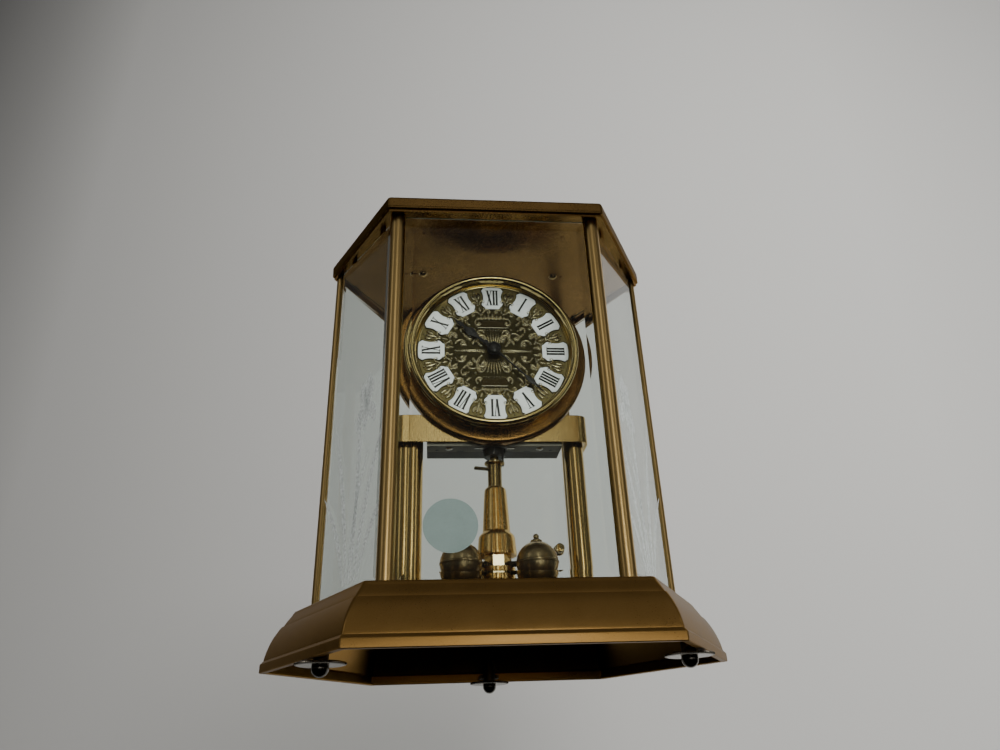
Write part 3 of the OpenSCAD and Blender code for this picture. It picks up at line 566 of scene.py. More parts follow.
for z in (cap_high[2], cap_high[2] - cap_wall):
    ring = hexagon(-core, z, 2.2)
    cap.add(ring, [list(range(len(ring)))])
for s in (-1, 1):
    cap.lathe([[boss_r, box("ceiling_plate")[1][2]], [boss_r, cap_high[2] - 1.25]],
              Matrix.Translation((s * cap_screw_x, cap_screw_y, 0)), 32, ends=False)
cap.piece("cap_lid", "case", cap_bronze, "antique_bronze", "cap")

# ---- Screws of the case ----
# Two round-head brass screws hold the cap from below. Cheese-head screws in their ends hold the posts
# and the columns.
screw_brass = metal("screw_brass", (206, 176, 112), (150, 116, 62), (255, 240, 196), 0.1, 0.2,
                    patch=150.0, wear=0.7, bump=0.08)
low, high = box("cap_screws")
heads = Form()
for s in (-1, 1):
    place = Matrix.Translation((s * cap_screw_x, cap_screw_y, 0))
    dome = [[2.55 * math.cos(a), low[2] + 2.0 - 2.0 * math.sin(a)]
            for a in [math.pi / 2 * i / 10 for i in range(11)]]
    heads.lathe([[1.2, high[2]], [1.2, low[2] + 2.0]] + dome, place, 40)
    heads.lathe([[1.55, low[2] + 2.02], [2.75, low[2] + 2.02], [2.75, low[2] + 1.75],
                 [1.55, low[2] + 1.75]], place, 40, ends=False, joined=True)
heads.piece("cap_screw_heads", "case", screw_brass, "polished_brass", "cap_screws")
dress("frame_screws", screw_brass, 0.3)

# ---- Glass ----
# Five fixed panels of 3 mm float glass slid into the slotted posts. The outer faces have a wide shallow
# bevel all round. The upper and lower edges are ground matt.
glass, tree, skin = shader("clear_glass")
skin.inputs["Base Color"].default_value = (0.93, 0.97, 0.95, 1)
skin.inputs["Metallic"].default_value = 0.0
skin.inputs["Transmission Weight"].default_value = 1.0
skin.inputs["IOR"].default_value = 1.5
skin.inputs["Specular IOR Level"].default_value = 0.06
haze = noise(tree, 30.0, 4.0)
film = node(tree, "MapRange", Value=haze, From_Min=0.4, From_Max=0.8, To_Min=0.0, To_Max=0.05)
tree.links.new(film.outputs[0], skin.inputs["Roughness"])
clear = node(tree, "BsdfTransparent", Color=(0.94, 0.97, 0.96, 1))
path = node(tree, "LightPath")
straight = maths(tree, "MAXIMUM", path.outputs["Is Shadow Ray"], path.outputs["Is Reflection Ray"])
pass_light = node(tree, "MixShader", Fac=straight)
facing = node(tree, "NewGeometry").outputs["True Normal"]
upward = node(tree, "SeparateXYZ", Vector=facing).outputs[2]
ground_ends = maths(tree, "GREATER_THAN", maths(tree, "ABSOLUTE", upward, 0.0), 0.9)
matt_edge = node(tree, "BsdfDiffuse", Color=(0.03, 0.06, 0.05, 1))
panes = node(tree, "MixShader", Fac=ground_ends)
tree.links.new(skin.outputs[0], panes.inputs[1])
tree.links.new(matt_edge.outputs[0], panes.inputs[2])
tree.links.new(panes.outputs[0], pass_light.inputs[1])
tree.links.new(clear.outputs[0], pass_light.inputs[2])
tree.links.new(pass_light.outputs[0], tree.nodes["Material Output"].inputs["Surface"])
bevel_w = 6.5
bevel_t = 0.9


def panel(name, body, cad, start, along, length, out, low_z, high_z):
    """A bevelled panel: start is the middle of its thickness at one end, out its outer side."""
    half = glass_t / 2
    tall = high_z - low_z
    place = Matrix((
        (along[0], 0, out[0], start[0]), (along[1], 0, out[1], start[1]),
        (0, 1, 0, low_z), (0, 0, 0, 1)))
    rings = []
    for cut, w in ((0.15, -half), (0.0, -half + 0.15), (0.0, half - bevel_t - 0.12),
                   (0.12, half - bevel_t), (bevel_w, half)):
        rings.append([(cut, cut, w), (length - cut, cut, w), (length - cut, tall - cut, w),
                      (cut, tall - cut, w)])
    sheet = Form()
    sheet.loft(rings, place)
    return sheet.piece(name, body, glass, "clear_glass", cad, sharp=3)


low, high = box("glass_front")
panel("front_panel", "case", "glass_front", (low[0], (low[1] + high[1]) / 2), (1, 0),
      high[0] - low[0], (0, -1), low[2], high[2])
side_panels = {}
for name, to_x, to_y in (("front_left", -1, -1), ("front_right", 1, -1), ("rear_left", -1, 1),
                       ("rear_right", 1, 1)):
    low, high = box("glass_" + name)
    mid = ((low[0] + high[0]) / 2, (low[1] + high[1]) / 2)
    wide, deep = high[0] - low[0], high[1] - low[1]
    angle = lean
    for _ in range(30):
        angle = math.atan2(deep - glass_t * math.cos(angle), wide - glass_t * math.sin(angle))
    length = (wide - glass_t * math.sin(angle)) / math.cos(angle)
    along = Vector((to_x * math.cos(angle), -to_y * math.sin(angle)))
    out = Vector((to_x * math.sin(angle), to_y * math.cos(angle)))
    start = Vector(mid) - along * length / 2
    side_panels[name] = (start, along, out, length, low[2], high[2])
    panel("side_panel_" + name, "case", "glass_" + name, start, along, length, out, low[2], high[2])

# ---- Etched flowers ----
# Both side panels at the front carry a frosted iris on tall blades, etched into the outer face.
frost, tree, skin = shader("etched_frost")
skin.inputs["Base Color"].default_value = (0.80, 0.85, 0.84, 1)
skin.inputs["Roughness"].default_value = 0.65
cloud = node(tree, "MapRange", Value=noise(tree, 700.0, 3.0),
             From_Min=0.3, From_Max=0.7, To_Min=0.3, To_Max=0.75)
tree.links.new(cloud.outputs[0], skin.inputs["Alpha"])


def blade(form, place, points, width, lift=0.04):
    """A flat tapered stroke along points, widest in its middle."""
    left, right = [], []
    for i, p in enumerate(points):
        a = Vector(points[max(i - 1, 0)])
        b = Vector(points[min(i + 1, len(points) - 1)])
        n = Vector((-(b - a).y, (b - a).x)).normalized()
        t = i / (len(points) - 1)
        w = width * max(math.sin(math.pi * min(0.94 * t + 0.06, 1.0)) ** 0.7, 0.06)
        left.append(Vector(p) + n * w)
        right.append(Vector(p) - n * w)
    rings = []
    for a, b in zip(left, right):
        rings.append([(a.x, a.y, 0), (a.x, a.y, lift), (b.x, b.y, lift), (b.x, b.y, 0)])
    form.loft(rings, place)


def sweep(p, angle, length, bend, steps=14):
    """Points of a curve that starts at p, heads at angle and turns by bend over its length."""
    points = [tuple(p)]
    x, y = p
    for i in range(steps):
        a = angle + bend * (i + 0.5) / steps
        x += length / steps * math.cos(a)
        y += length / steps * math.sin(a)
        points.append((x, y))
    return points


for name in ("front_left", "front_right"):
    start, along, out, length, low_z, high_z = side_panels[name]
    face = Vector((start[0], start[1])) + Vector((out[0], out[1])) * (glass_t / 2 + 0.01)
    place = Matrix((
        (along[0], 0, out[0], face[0]), (along[1], 0, out[1], face[1]),
        (0, 1, 0, low_z), (0, 0, 0, 1)))
    etch = Form()
    root = (length * 0.46, 8.0)
    up = math.pi / 2
    for x, heading, tall, curl, w in (
            (0, up + 0.05, 96, 0.10, 0.6), (-5, up + 0.16, 84, 0.30, 2.2),
            (-2, up + 0.06, 112, -0.12, 1.9), (4, up - 0.12, 98, -0.26, 2.1),
            (7, up - 0.26, 62, -0.5, 1.9), (-8, up + 0.34, 54, 0.55, 1.8),
            (1, up - 0.02, 72, 0.5, 1.6)):
        blade(etch, place, sweep((root[0] + x, root[1]), heading, tall, curl), w)
    head = sweep(root, up + 0.05, 96, 0.10)[-1]
    for heading, tall, curl, w in (
            (up, 19, 0.3, 4.2), (up + 0.7, 17, -0.8, 3.6), (up - 0.7, 17, 0.8, 3.6),
            (up + 2.0, 18, 1.0, 4.0), (up - 2.0, 18, -1.0, 4.0), (-up, 15, 0.2, 3.6)):
        blade(etch, place, sweep(head, heading, tall, curl), w)
    etch.piece("etched_iris_" + name, "case", frost, "clear_glass")

# ---- Glass tabs and label ----
# Folded tabs under the ceiling keep the side panels from rattling. A round film disc sticks to the
# inside of the front glass.
dress("glass_tabs", ceiling_bronze, 0.2)
label, tree, skin = shader("label_film")
skin.inputs["Roughness"].default_value = 0.5
shade = blend(tree, noise(tree, 160.0, 4.0), (0.22, 0.27, 0.265, 1), (0.27, 0.33, 0.32, 1))
tree.links.new(shade, skin.inputs["Base Color"])
veil = node(tree, "MapRange", Value=noise(tree, 900.0, 2.0), To_Min=0.72, To_Max=0.86)
tree.links.new(veil.outputs[0], skin.inputs["Alpha"])
low, high = box("glass_label")
x, y, z = middle("glass_label")
UP_FRONT = Matrix.Rotation(math.pi / 2, 4, "X")
r = (high[0] - low[0]) / 2
film = Form()
film.lathe([[0.3, -high[1]], [r - 0.1, -high[1]], [r, -high[1] + 0.05], [r, -low[1] - 0.03],
            [r - 0.1, -low[1]], [0.3, -low[1]]], Matrix.Translation((x, 0, z)) @ UP_FRONT, 96)
film.piece("film_disc", "case", label, "label_film", "glass_label")

# ---- Rear door ----
# A bevelled glass that swings on two pins held by brass clips. A small turned pull grips the glass from
# both sides near its free edge.
low, high = box("door_glass")
panel("door_panel", "door", "door_glass", (low[0], (low[1] + high[1]) / 2), (1, 0),
      high[0] - low[0], (0, 1), low[2], high[2])
dress("door_clips", screw_brass, 0.25)
low, high = box("door_knob")
x, y, z = middle("door_knob")
knob = Form()
near = box("door_glass")[0][1]
far = box("door_glass")[1][1]
knob_place = Matrix.Translation((x, 0, z)) @ Matrix.Rotation(-math.pi / 2, 4, "X")
knob.lathe([[0.3, low[1]], [2.6, low[1]], [3.0, low[1] + 0.3], [3.0, near], [1.5, near], [1.5, far],
            [3.0, far], [3.2, far + 0.2], [3.2, far + 0.7], [2.6, far + 1.1], [1.9, far + 1.7],
            [1.75, far + 2.4], [2.0, far + 3.2], [2.9, far + 3.9], [3.5, far + 4.6],
            [3.55, far + 5.2], [3.1, far + 6.0], [2.0, far + 6.45], [0.4, high[1]]],
           knob_place, 56)
knob.piece("door_pull", "door", screw_brass, "polished_brass", "door_knob", sharp=50)

# ---- Columns ----
# Two thick brass rods, satin polished, screwed up through the floor. They carry the bridge and with it
# the whole movement.
column_brass = metal("column_brass", (222, 188, 122), (210, 174, 108), (255, 236, 186), 0.17, 0.2,
                     patch=36.0, wear=0.0, bump=0.0)
column_r = 5.8
for side in ("left", "right"):
    low, high = box("column_" + side)
    x, y, z = middle("column_" + side)
    r = column_r
    rod = Form()
    rod.lathe([[1.6, low[2] + 0.6], [1.9, low[2]], [r - 0.35, low[2]], [r, low[2] + 0.35],
               [r, high[2] - 0.35], [r - 0.35, high[2]], [1.9, high[2]], [1.6, high[2] - 0.6]],
              Matrix.Translation((x, y, 0)), 96)
    rod.piece("column_rod_" + side, "case", column_brass, "gold_bronze", "column_" + side)

# ---- Bridge ----
# Brushed brass sheet bent round both ends and cut away in an arc for the dial housing. It joins the two
# columns.
bridge_brass = metal("bridge_brass", (226, 194, 128), (190, 156, 94), (255, 246, 214), 0.2, 0.3,
                     stretch=(1.0, 1.0, 0.05), patch=26.0, wear=0.0, bump=0.22)
dress("bridge", bridge_brass, 0.15)

# ---- Dial housing ----
# Spun bronze pan in front of the movement that holds the dial and its bezel. Its front edge
# is rounded over.
dial_z = middle("dial_plate")[2]
DIAL = Matrix.Translation((0, 0, dial_z)) @ UP_FRONT
housing_bronze = metal("housing_bronze", (160, 122, 68), (120, 86, 44), (222, 180, 116), 0.2, 0.3,
                       patch=50.0, wear=0.0, bump=0.05)
low, high = box("bezel_housing")
flange_w, back_w = -low[1], -high[1]
pan_w = back_w + 1.2
r = high[0]
seat = box("dial_plate")[1][0] - 2.4
pan = Form()
pan.lathe([[5.3, back_w], [5.3, pan_w], [seat - 0.6, pan_w], [seat, pan_w + 0.6], [seat, flange_w],
           [r - 2.6, flange_w], [r - 1.9, flange_w - 0.12]]
          + [[r - 1.9 + 1.9 * math.sin(a), flange_w - 2.0 + 1.88 * math.cos(a)]
             for a in [math.pi / 2 * i / 8 for i in range(1, 9)]]
          + [[r, back_w + 0.2], [r - 0.2, back_w], [r - 1.4, back_w], [r - 1.4, flange_w - 1.4],
             [seat + 1.4, flange_w - 1.4], [seat + 1.4, back_w]], DIAL, 192, joined=True)
pan.piece("housing_pan", "case", housing_bronze, "dark_bronze", "bezel_housing")

# ---- Bezel ----
# A heavy turned brass ring, polished and lacquered: a round bead, a groove, and a stepped inner wall.
bezel_brass = metal("bezel_brass", (232, 210, 146), (196, 170, 104), (255, 244, 200), 0.07, 0.14,
                    patch=34.0, wear=0.0, bump=0.03)
low, high = box("bezel_lip")
front_w, rear_w = -low[1], -high[1]
r = high[0]
inner_r = box("dial_plate")[1][0] + 0.2
bead = (r - inner_r) / 2
ring_profile = [[seat, rear_w], [r, rear_w], [r, front_w - bead - 4.6], [r - 0.55, front_w - bead - 4.1],
                [r - 0.55, front_w - bead - 3.5], [r, front_w - bead - 3.1], [r, front_w - bead]]
ring_profile += [[inner_r + bead + bead * math.cos(a), front_w - bead + bead * math.sin(a)]
                 for a in [math.pi * i / 16 for i in range(1, 16)]]
ring_profile += [[inner_r, front_w - bead], [inner_r, front_w - bead - 1.4],
                 [inner_r + 0.35, front_w - bead - 1.7], [inner_r + 0.35, front_w - bead - 2.2],
                 [inner_r, front_w - bead - 2.5], [inner_r, -box("dial_plate")[1][1]],
                 [seat, -box("dial_plate")[1][1]]]
bezel = Form()
bezel.lathe(ring_profile, DIAL, 224, joined=True)
bezel.piece("bezel_ring", "case", bezel_brass, "polished_brass", "bezel_lip")

# ---- Dial plate ----
# Pressed brass. The ground is stippled olive, with painted shade that darkens it to near black towards
# the middle. The edge is turned bright in two steps, and the scrolls stand up to 1 mm proud and are
# rubbed bright.
ground_gold = metal("dial_ground", (178, 164, 110), (84, 74, 42), (200, 184, 130), 0.28, 0.42,
                    patch=520.0, wear=0.2, bump=1.0)
relief_gold = metal("dial_relief", (236, 218, 160), (130, 112, 64), (255, 248, 216), 0.16, 0.26,
                    patch=300.0, wear=0.9, bump=0.2)
low, high = box("dial_plate")
face_w = -low[1]
r = high[0]
tree = ground_gold.node_tree
skin = tree.nodes["Principled BSDF"]
# Painted shade between the scrolls: the ground goes to near black inside 26 mm from the axis and back to
# the stippled colour at 42 mm.
from_axis = node(tree, "VectorMath", operation="DISTANCE",
                 Vector=node(tree, "TexCoord").outputs["Object"])
from_axis.inputs[1].default_value = (0, -face_w * MM, dial_z * MM)
outer = node(tree, "MapRange", Value=from_axis.outputs["Value"], From_Min=0.026, From_Max=0.042)
stippled = skin.inputs["Base Color"].links[0].from_socket
# Blends the ground to the painted shade colour towards the middle.
shade = blend(tree, outer.outputs[0], (0.075, 0.062, 0.026, 1), stippled)
tree.links.new(shade, skin.inputs["Base Color"])
plate = Form()
plate.lathe([[2.7, -high[1]], [2.7, face_w - 0.25], [45.6, face_w - 0.25], [45.75, face_w],
             [46.15, face_w], [46.3, face_w - 0.3], [46.5, face_w - 0.3], [46.65, face_w],
             [r - 0.1, face_w], [r, face_w - 0.1], [r, -high[1]]], DIAL, 192, joined=True)
plate.piece("dial_ground", "case", ground_gold, "dial_gold", "dial_plate")
edge_ring = Form()
for inner_at, outer_at in ((45.9, 46.25), (46.7, 47.25)):
    edge_ring.lathe([[inner_at, face_w - 0.1], [inner_at, face_w + 0.12],
                     [(inner_at + outer_at) / 2, face_w + 0.2], [outer_at, face_w + 0.12],
                     [outer_at, face_w - 0.1]], DIAL, 192, joined=True)
edge_ring.piece("dial_edge_rings", "case", bezel_brass, "dial_gold")
scrolls = Form()
floor_w = face_w - 0.3
full = 1.45


def ribbon(form, points, widths, rise, place=DIAL):
    """A half-round strip that lies on the dial's ground along points."""
    rings = []
    n = len(points)
    for i, p in enumerate(points):
        a = Vector(points[max(i - 1, 0)])
        b = Vector(points[min(i + 1, n - 1)])
        side = Vector((-(b - a).y, (b - a).x)).normalized()
        w = widths[i] * full
        ring = []
        for k in range(7):
            t = math.pi * k / 6
            q = Vector(p) + side * (w * math.cos(t))
            ring.append((q.x, q.y, floor_w + rise * min(1.0, w / 0.55) * math.sin(t)))
        rings.append(ring)
    form.loft(rings, place)


def volute(form, p, angle, size, turns, hand, width, rise):
    """A tapering stroke that curls into a spiral and ends in a bead."""
    points, widths = [], []
    steps = int(12 * turns) + 6
    x, y = p
    a = angle
    for i in range(steps):
        t = i / (steps - 1)
        points.append((x, y))
        widths.append(width * (0.35 + 0.65 * math.sin(math.pi * (0.12 + 0.76 * t))))
        step = size * (1 - 0.82 * t) / steps * 2.0
        a += hand * (2 * math.pi * turns) / steps * (0.55 + 0.9 * t)
        x += step * math.cos(a)
        y += step * math.sin(a)
    ribbon(form, points, widths, rise)
    bead_at(form, (x, y), width * 1.15, rise * 1.15)


def bead_at(form, p, radius, rise):
    rings = [circle(1.25 * radius * math.cos(b), floor_w + rise * math.sin(b), 12)
             for b in (0, 0.4, 0.8, 1.2, 1.5)]
    form.loft(rings, DIAL @ Matrix.Translation((p[0], p[1], 0)))


def leaf(form, p, angle, length, width, rise, bend=0.0):
    points = sweep(p, angle, length, bend, 9)
    widths = [max(width * math.sin(math.pi * min(0.08 + 0.92 * i / 9, 1.0)) ** 0.8, 0.05)
              for i in range(10)]
    ribbon(form, points, widths, rise)


def polar(radius, degrees):
    a = math.radians(degrees)
    return (radius * math.cos(a), radius * math.sin(a))


# Between every two plates: a pair of scrolls that rise from a leaf and turn apart
for k in range(12):
    at = 15 + 30 * k
    a = math.radians(at)
    for hand in (-1, 1):
        p = polar(27.5, at + hand * 2.2)
        volute(scrolls, p, a + hand * 0.35, 7.2, 0.95, hand, 0.62, 0.95)
        volute(scrolls, polar(33.5, at + hand * 1.0), a - hand * 0.1, 6.4, 0.9, hand, 0.6, 0.95)
        leaf(scrolls, polar(38.6, at + hand * 2.0), a + hand * 0.55, 5.2, 0.85, 0.8, -hand * 0.9)
        leaf(scrolls, polar(30.2, at + hand * 3.9), a + hand * 1.0, 4.0, 0.6, 0.7, -hand * 1.1)
    leaf(scrolls, polar(36.0, at), a, 7.4, 1.0, 1.0)
    leaf(scrolls, polar(29.0, at), a, 4.2, 0.7, 0.9)
    bead_at(scrolls, polar(27.2, at), 0.8, 0.9)
    bead_at(scrolls, polar(43.9, at), 0.6, 0.7)
# Four quarters of the centre: big curling scrolls with leaves off their backs
for to_x in (-1, 1):
    for to_y in (-1, 1):
        def flip(p):
            return (p[0] * to_x, p[1] * to_y)

        def turn(heading):
            v = Vector((math.cos(heading) * to_x, math.sin(heading) * to_y))
            return math.atan2(v.y, v.x)

        hand = to_x * to_y
        for at_x, at_y, heading, size, turns, way, width, rise in (
                (7.0, 3.2, 0.35, 15.0, 1.35, 1, 0.85, 1.05), (23.5, 4.6, 1.75, 11.0, 1.3, 1, 0.75, 1.0),
                (11.5, 12.0, 0.5, 9.6, 1.25, -1, 0.75, 1.0), (10.0, 22.5, -0.7, 8.0, 1.2, -1, 0.65, 0.95),
                (19.5, 13.0, 0.95, 6.8, 1.1, 1, 0.6, 0.9), (26.2, 9.0, 1.3, 7.4, 1.15, 1, 0.6, 0.9),
                (5.6, 12.6, 1.3, 6.6, 1.1, -1, 0.55, 0.9), (19.0, 22.6, 0.2, 6.2, 1.1, -1, 0.55, 0.9)):
            volute(scrolls, flip((at_x, at_y)), turn(heading), size, turns, way * hand, width, rise)
        for at_x, at_y, heading, long, wide, curl in (
                (8.5, 5.0, 1.1, 5.2, 0.9, -0.8), (12.5, 4.2, 1.5, 4.2, 0.8, 0.9),
                (16.5, 3.4, 0.5, 5.4, 0.9, 0.9), (22.0, 9.0, 0.2, 4.4, 0.8, 1.0),
                (10.5, 9.0, 2.0, 4.6, 0.8, -0.9), (17.0, 9.6, 1.3, 4.0, 0.75, -1.0),
                (14.0, 18.2, 0.4, 4.8, 0.8, 0.9), (8.8, 17.6, 1.9, 4.0, 0.7, -0.7),
                (19.8, 18.0, 0.8, 4.2, 0.75, -0.9), (24.4, 2.2, 0.1, 3.2, 0.7, 0.6)):
            leaf(scrolls, flip((at_x, at_y)), turn(heading), long, wide, 0.9, curl * hand)
        for at_x, at_y in ((14.6, 7.4), (21.0, 7.2), (11.4, 15.2), (17.0, 21.4), (6.2, 6.6), (25.6, 5.4),
                         (8.6, 14.4), (15.6, 14.8), (22.6, 15.6), (18.2, 5.8), (12.6, 25.6)):
            bead_at(scrolls, flip((at_x, at_y)), 0.62, 0.85)
# Slender ribbed bars to the left and right of the centre
for s in (-1, 1):
    for off, rise in ((-0.8, 0.8), (0.8, 0.8), (0.0, 1.05)):
        ribbon(scrolls, [(s * (5.6 + 0.95 * i), off * (1 - 0.04 * i)) for i in range(20)],
               [0.34 * math.sin(math.pi * (0.1 + 0.8 * i / 19)) + 0.1 for i in range(20)], rise)
    for reach in (10.5, 17.0, 23.0):
        bead_at(scrolls, (s * reach, 0), 0.8, 1.1)
# A fan of leaves below the centre and a small crown above it
for k in range(-5, 6):
    leaf(scrolls, (1.1 * k, -5.4), math.radians(-90 + 5.4 * k), 10.4 - 0.5 * abs(k), 0.36, 0.9)
for k in range(-4, 5):
    leaf(scrolls, (1.2 * k, 5.6), math.radians(90 - 5.0 * k), 8.8 - 0.4 * abs(k), 0.38, 0.9)
for k in range(-4, 5):
    leaf(scrolls, (2.1 * k, 22.0), math.radians(90 - 8 * k), 5.0 - 0.6 * abs(k), 0.9, 1.0)
    leaf(scrolls, (1.7 * k, -25.0), math.radians(-90 + 9 * k), 3.4 - 0.3 * abs(k), 0.8, 0.95)
    bead_at(scrolls, (1.7 * k, 14.8), 0.5, 0.7)
    bead_at(scrolls, (1.6 * k, -17.8), 0.5, 0.7)
scrolls.piece("dial_scrolls", "case", relief_gold, "dial_gold", sharp=60)

# ---- Blank plates ----
# Two small dark tablets, left plain, above and below the centre. Each has a bright strip along its
# lower edge.
tablet_dark = metal("tablet_dark", (92, 80, 52), (52, 44, 26), (170, 150, 100), 0.34, 0.46,
                    stretch=(0.1, 1, 1), patch=120.0, wear=0.0, bump=0.2)
low, high = box("name_plates")
plates = Form()
frames = Form()
for z0, half in ((18.6, high[0]), (-21.6, 8.0)):
    plates.block((0.3 - half, z0 - 2.0, face_w - 0.3), (half - 0.3, z0 + 2.5, face_w + 0.3), DIAL, 0.1)
    frames.block((-half, z0 - 2.6, face_w - 0.3), (half, z0 - 1.95, face_w + 0.5), DIAL, 0.2)
plates.piece("tablets", "case", tablet_dark, "dark_bronze", "name_plates")
frames.piece("tablet_frames", "case", relief_gold, "dial_gold")

# ---- Numeral plates ----
# Twelve waisted plates of white vitreous enamel on copper, each in a dark pressed rim, with the Roman
# numeral in black enamel. They are pinned through the dial.
enamel, tree, skin = shader("white_enamel")
skin.inputs["Metallic"].default_value = 0.0
skin.inputs["Coat Weight"].default_value = 0.5
skin.inputs["Coat Roughness"].default_value = 0.06
shade = blend(tree, noise(tree, 260.0, 4.0), (0.60, 0.61, 0.60, 1), (0.80, 0.80, 0.77, 1))
tree.links.new(shade, skin.inputs["Base Color"])
gloss = node(tree, "MapRange", Value=noise(tree, 1400.0, 3.0), To_Min=0.18, To_Max=0.34)
tree.links.new(gloss.outputs[0], skin.inputs["Roughness"])
ripple = node(tree, "Bump", Height=noise(tree, 800.0, 3.0), Strength=0.12, Distance=0.00005)
tree.links.new(ripple.outputs[0], skin.inputs["Normal"])
black_enamel = metal("black_enamel", (20, 19, 18), (8, 8, 8), (60, 56, 50), 0.14, 0.28,
                     patch=300.0, wear=0.2, bump=0.2, metallic=0.0, coat=0.4)
rim_dark = metal("plate_rim", (52, 46, 28), (20, 18, 10), (150, 130, 84), 0.24, 0.36,
                 patch=300.0, wear=0.35, bump=0.2)
plate_side = [(0.0, -8.6), (4.5, -8.5), (5.0, -7.5), (6.4, -6.2), (7.1, -4.8), (6.55, -2.5), (6.1, 0.2),
              (6.25, 2.7), (6.9, 4.7), (7.35, 5.9), (6.6, 6.9), (5.7, 8.1), (2.9, 8.6), (0.0, 8.7)]


def smooth_line(points, per=4):
    """A curve through the points."""
    out = []
    for i in range(len(points) - 1):
        p0 = Vector(points[max(i - 1, 0)])
        p1 = Vector(points[i])
        p2 = Vector(points[i + 1])
        p3 = Vector(points[min(i + 2, len(points) - 1)])
        for k in range(per):
            t = k / per
            out.append(0.5 * (2 * p1 + (p2 - p0) * t + (2 * p0 - 5 * p1 + 4 * p2 - p3) * t * t
                              + (3 * p1 - 3 * p2 - p0 + p3) * t ** 3))
    return out + [Vector(points[-1])]


right_side = smooth_line(plate_side)
plate_outline = right_side + [Vector((-p.x, p.y)) for p in right_side[-2:0:-1]]
plate_r = 38.0
letters = {"I": 1.85, "V": 3.8, "X": 4.0}
letter_h = 11.2
ink_w = 0.16


def stroke(form, place, a, b, width, w0):
    """A straight stroke whose ends are level, from a at the foot to b at the head."""
    rings = []
    for lift, cut in ((w0, 0.0), (w0 + ink_w * 0.7, 0.0), (w0 + ink_w, 0.06)):
        h = width / 2 - cut
        rings.append([(a[0] - h, a[1] + cut, lift), (a[0] + h, a[1] + cut, lift),
                      (b[0] + h, b[1] - cut, lift), (b[0] - h, b[1] - cut, lift)])
    form.loft(rings, place)


def numeral(form, text, place, w0):
    total = sum(letters[c] for c in text)
    fit = min(1.0, 9.4 / total)
    at_x = -total / 2
    foot, head = -letter_h / 2, letter_h / 2
    thick, thin, serif = 1.3, 0.5, 0.45
    squeeze = place @ Matrix.Diagonal((fit, 1, 1, 1))
    for c in text:
        wide = letters[c]
        mid = at_x + wide / 2
        if c == "I":
            stroke(form, squeeze, (mid, foot), (mid, head), thick, w0)
            ends = ((mid, foot), (mid, head))
        elif c == "V":
            stroke(form, squeeze, (mid, foot), (at_x + 0.75, head), thick, w0)
            stroke(form, squeeze, (mid, foot), (at_x + wide - 0.7, head), thin, w0)
            ends = ((at_x + 0.75, head), (at_x + wide - 0.7, head))
        else:
            stroke(form, squeeze, (at_x + wide - 0.75, foot), (at_x + 0.75, head), thick, w0)
            stroke(form, squeeze, (at_x + 0.7, foot), (at_x + wide - 0.7, head), thin, w0)
            ends = ((at_x + wide - 0.75, foot), (at_x + 0.7, foot), (at_x + 0.75, head),
                    (at_x + wide - 0.7, head))
        for ex, ey in ends:
            y0 = ey if ey < 0 else ey - serif
            stroke(form, squeeze, (ex, y0), (ex, y0 + serif), 1.86, w0)
        at_x += wide


plates = Form()
rims = Form()
inks = Form()
hours = ["XII", "I", "II", "III", "IIII", "V", "VI", "VII", "VIII", "IX", "X", "XI"]
for k, text in enumerate(hours):
    spot = (DIAL @ Matrix.Rotation(-math.radians(30 * k), 4, "Z")
            @ Matrix.Translation((0, plate_r, 0)))
    rings = []
    for lift, s in ((-0.3, 1.0), (0.38, 1.0), (0.46, 0.985), (0.46, 0.93), (0.3, 0.92)):
        rings.append([(p.x * s, p.y * s, face_w + lift) for p in plate_outline])
    rims.loft(rings, spot)
    rings = []
    for lift, s in ((0.0, 0.93), (0.42, 0.93), (0.52, 0.905), (0.58, 0.86), (0.6, 0.7)):
        rings.append([(p.x * s, p.y * s, face_w + lift) for p in plate_outline])
    plates.loft(rings, spot)
    numeral(inks, text, spot @ Matrix.Translation((0, 0.2, 0)), face_w + 0.52)
plates.piece("numeral_enamel", "case", enamel, "enamel_white", "numeral_plates")
rims.piece("numeral_rims", "case", rim_dark, "dial_gold")
inks.piece("numeral_ink", "case", black_enamel, "black_steel")

# ---- Hands ----
# Stamped steel, ridged along the middle and painted black. The hour hand has a spade, the minute hand a
# slim leaf near its tip. A domed cap covers the minute arbor.
hand_black = metal("hand_black", (16, 15, 14), (8, 8, 8), (60, 56, 50), 0.26, 0.4,
                   patch=220.0, wear=0.2, bump=0.1, metallic=0.0, coat=0.2)


def pointer(name, body, cad, stations, boss, degrees):
    """A hand: stations are [distance from the middle, half width]."""
    low, high = box(cad)
    w0, w1 = -high[1], -low[1]
    place = DIAL @ Matrix.Rotation(-math.radians(degrees), 4, "Z")
    line = smooth_line(stations, 5)
    rings = []
    for p in line:
        h = max(p.y, 0.06)
        rings.append([(-h, p.x, w0), (-h, p.x, w0 + 0.28), (-0.3 * h, p.x, w1), (0.3 * h, p.x, w1),
                      (h, p.x, w0 + 0.28), (h, p.x, w0)])
    form = Form()
    form.loft(rings, place)
    bore, outer = boss
    form.lathe([[bore, w0], [bore, w1], [outer - 0.3, w1], [outer, w1 - 0.2], [outer, w0]], place, 64,
               joined=True)
    return form.piece(name, body, hand_black, "black_steel", cad, sharp=24)


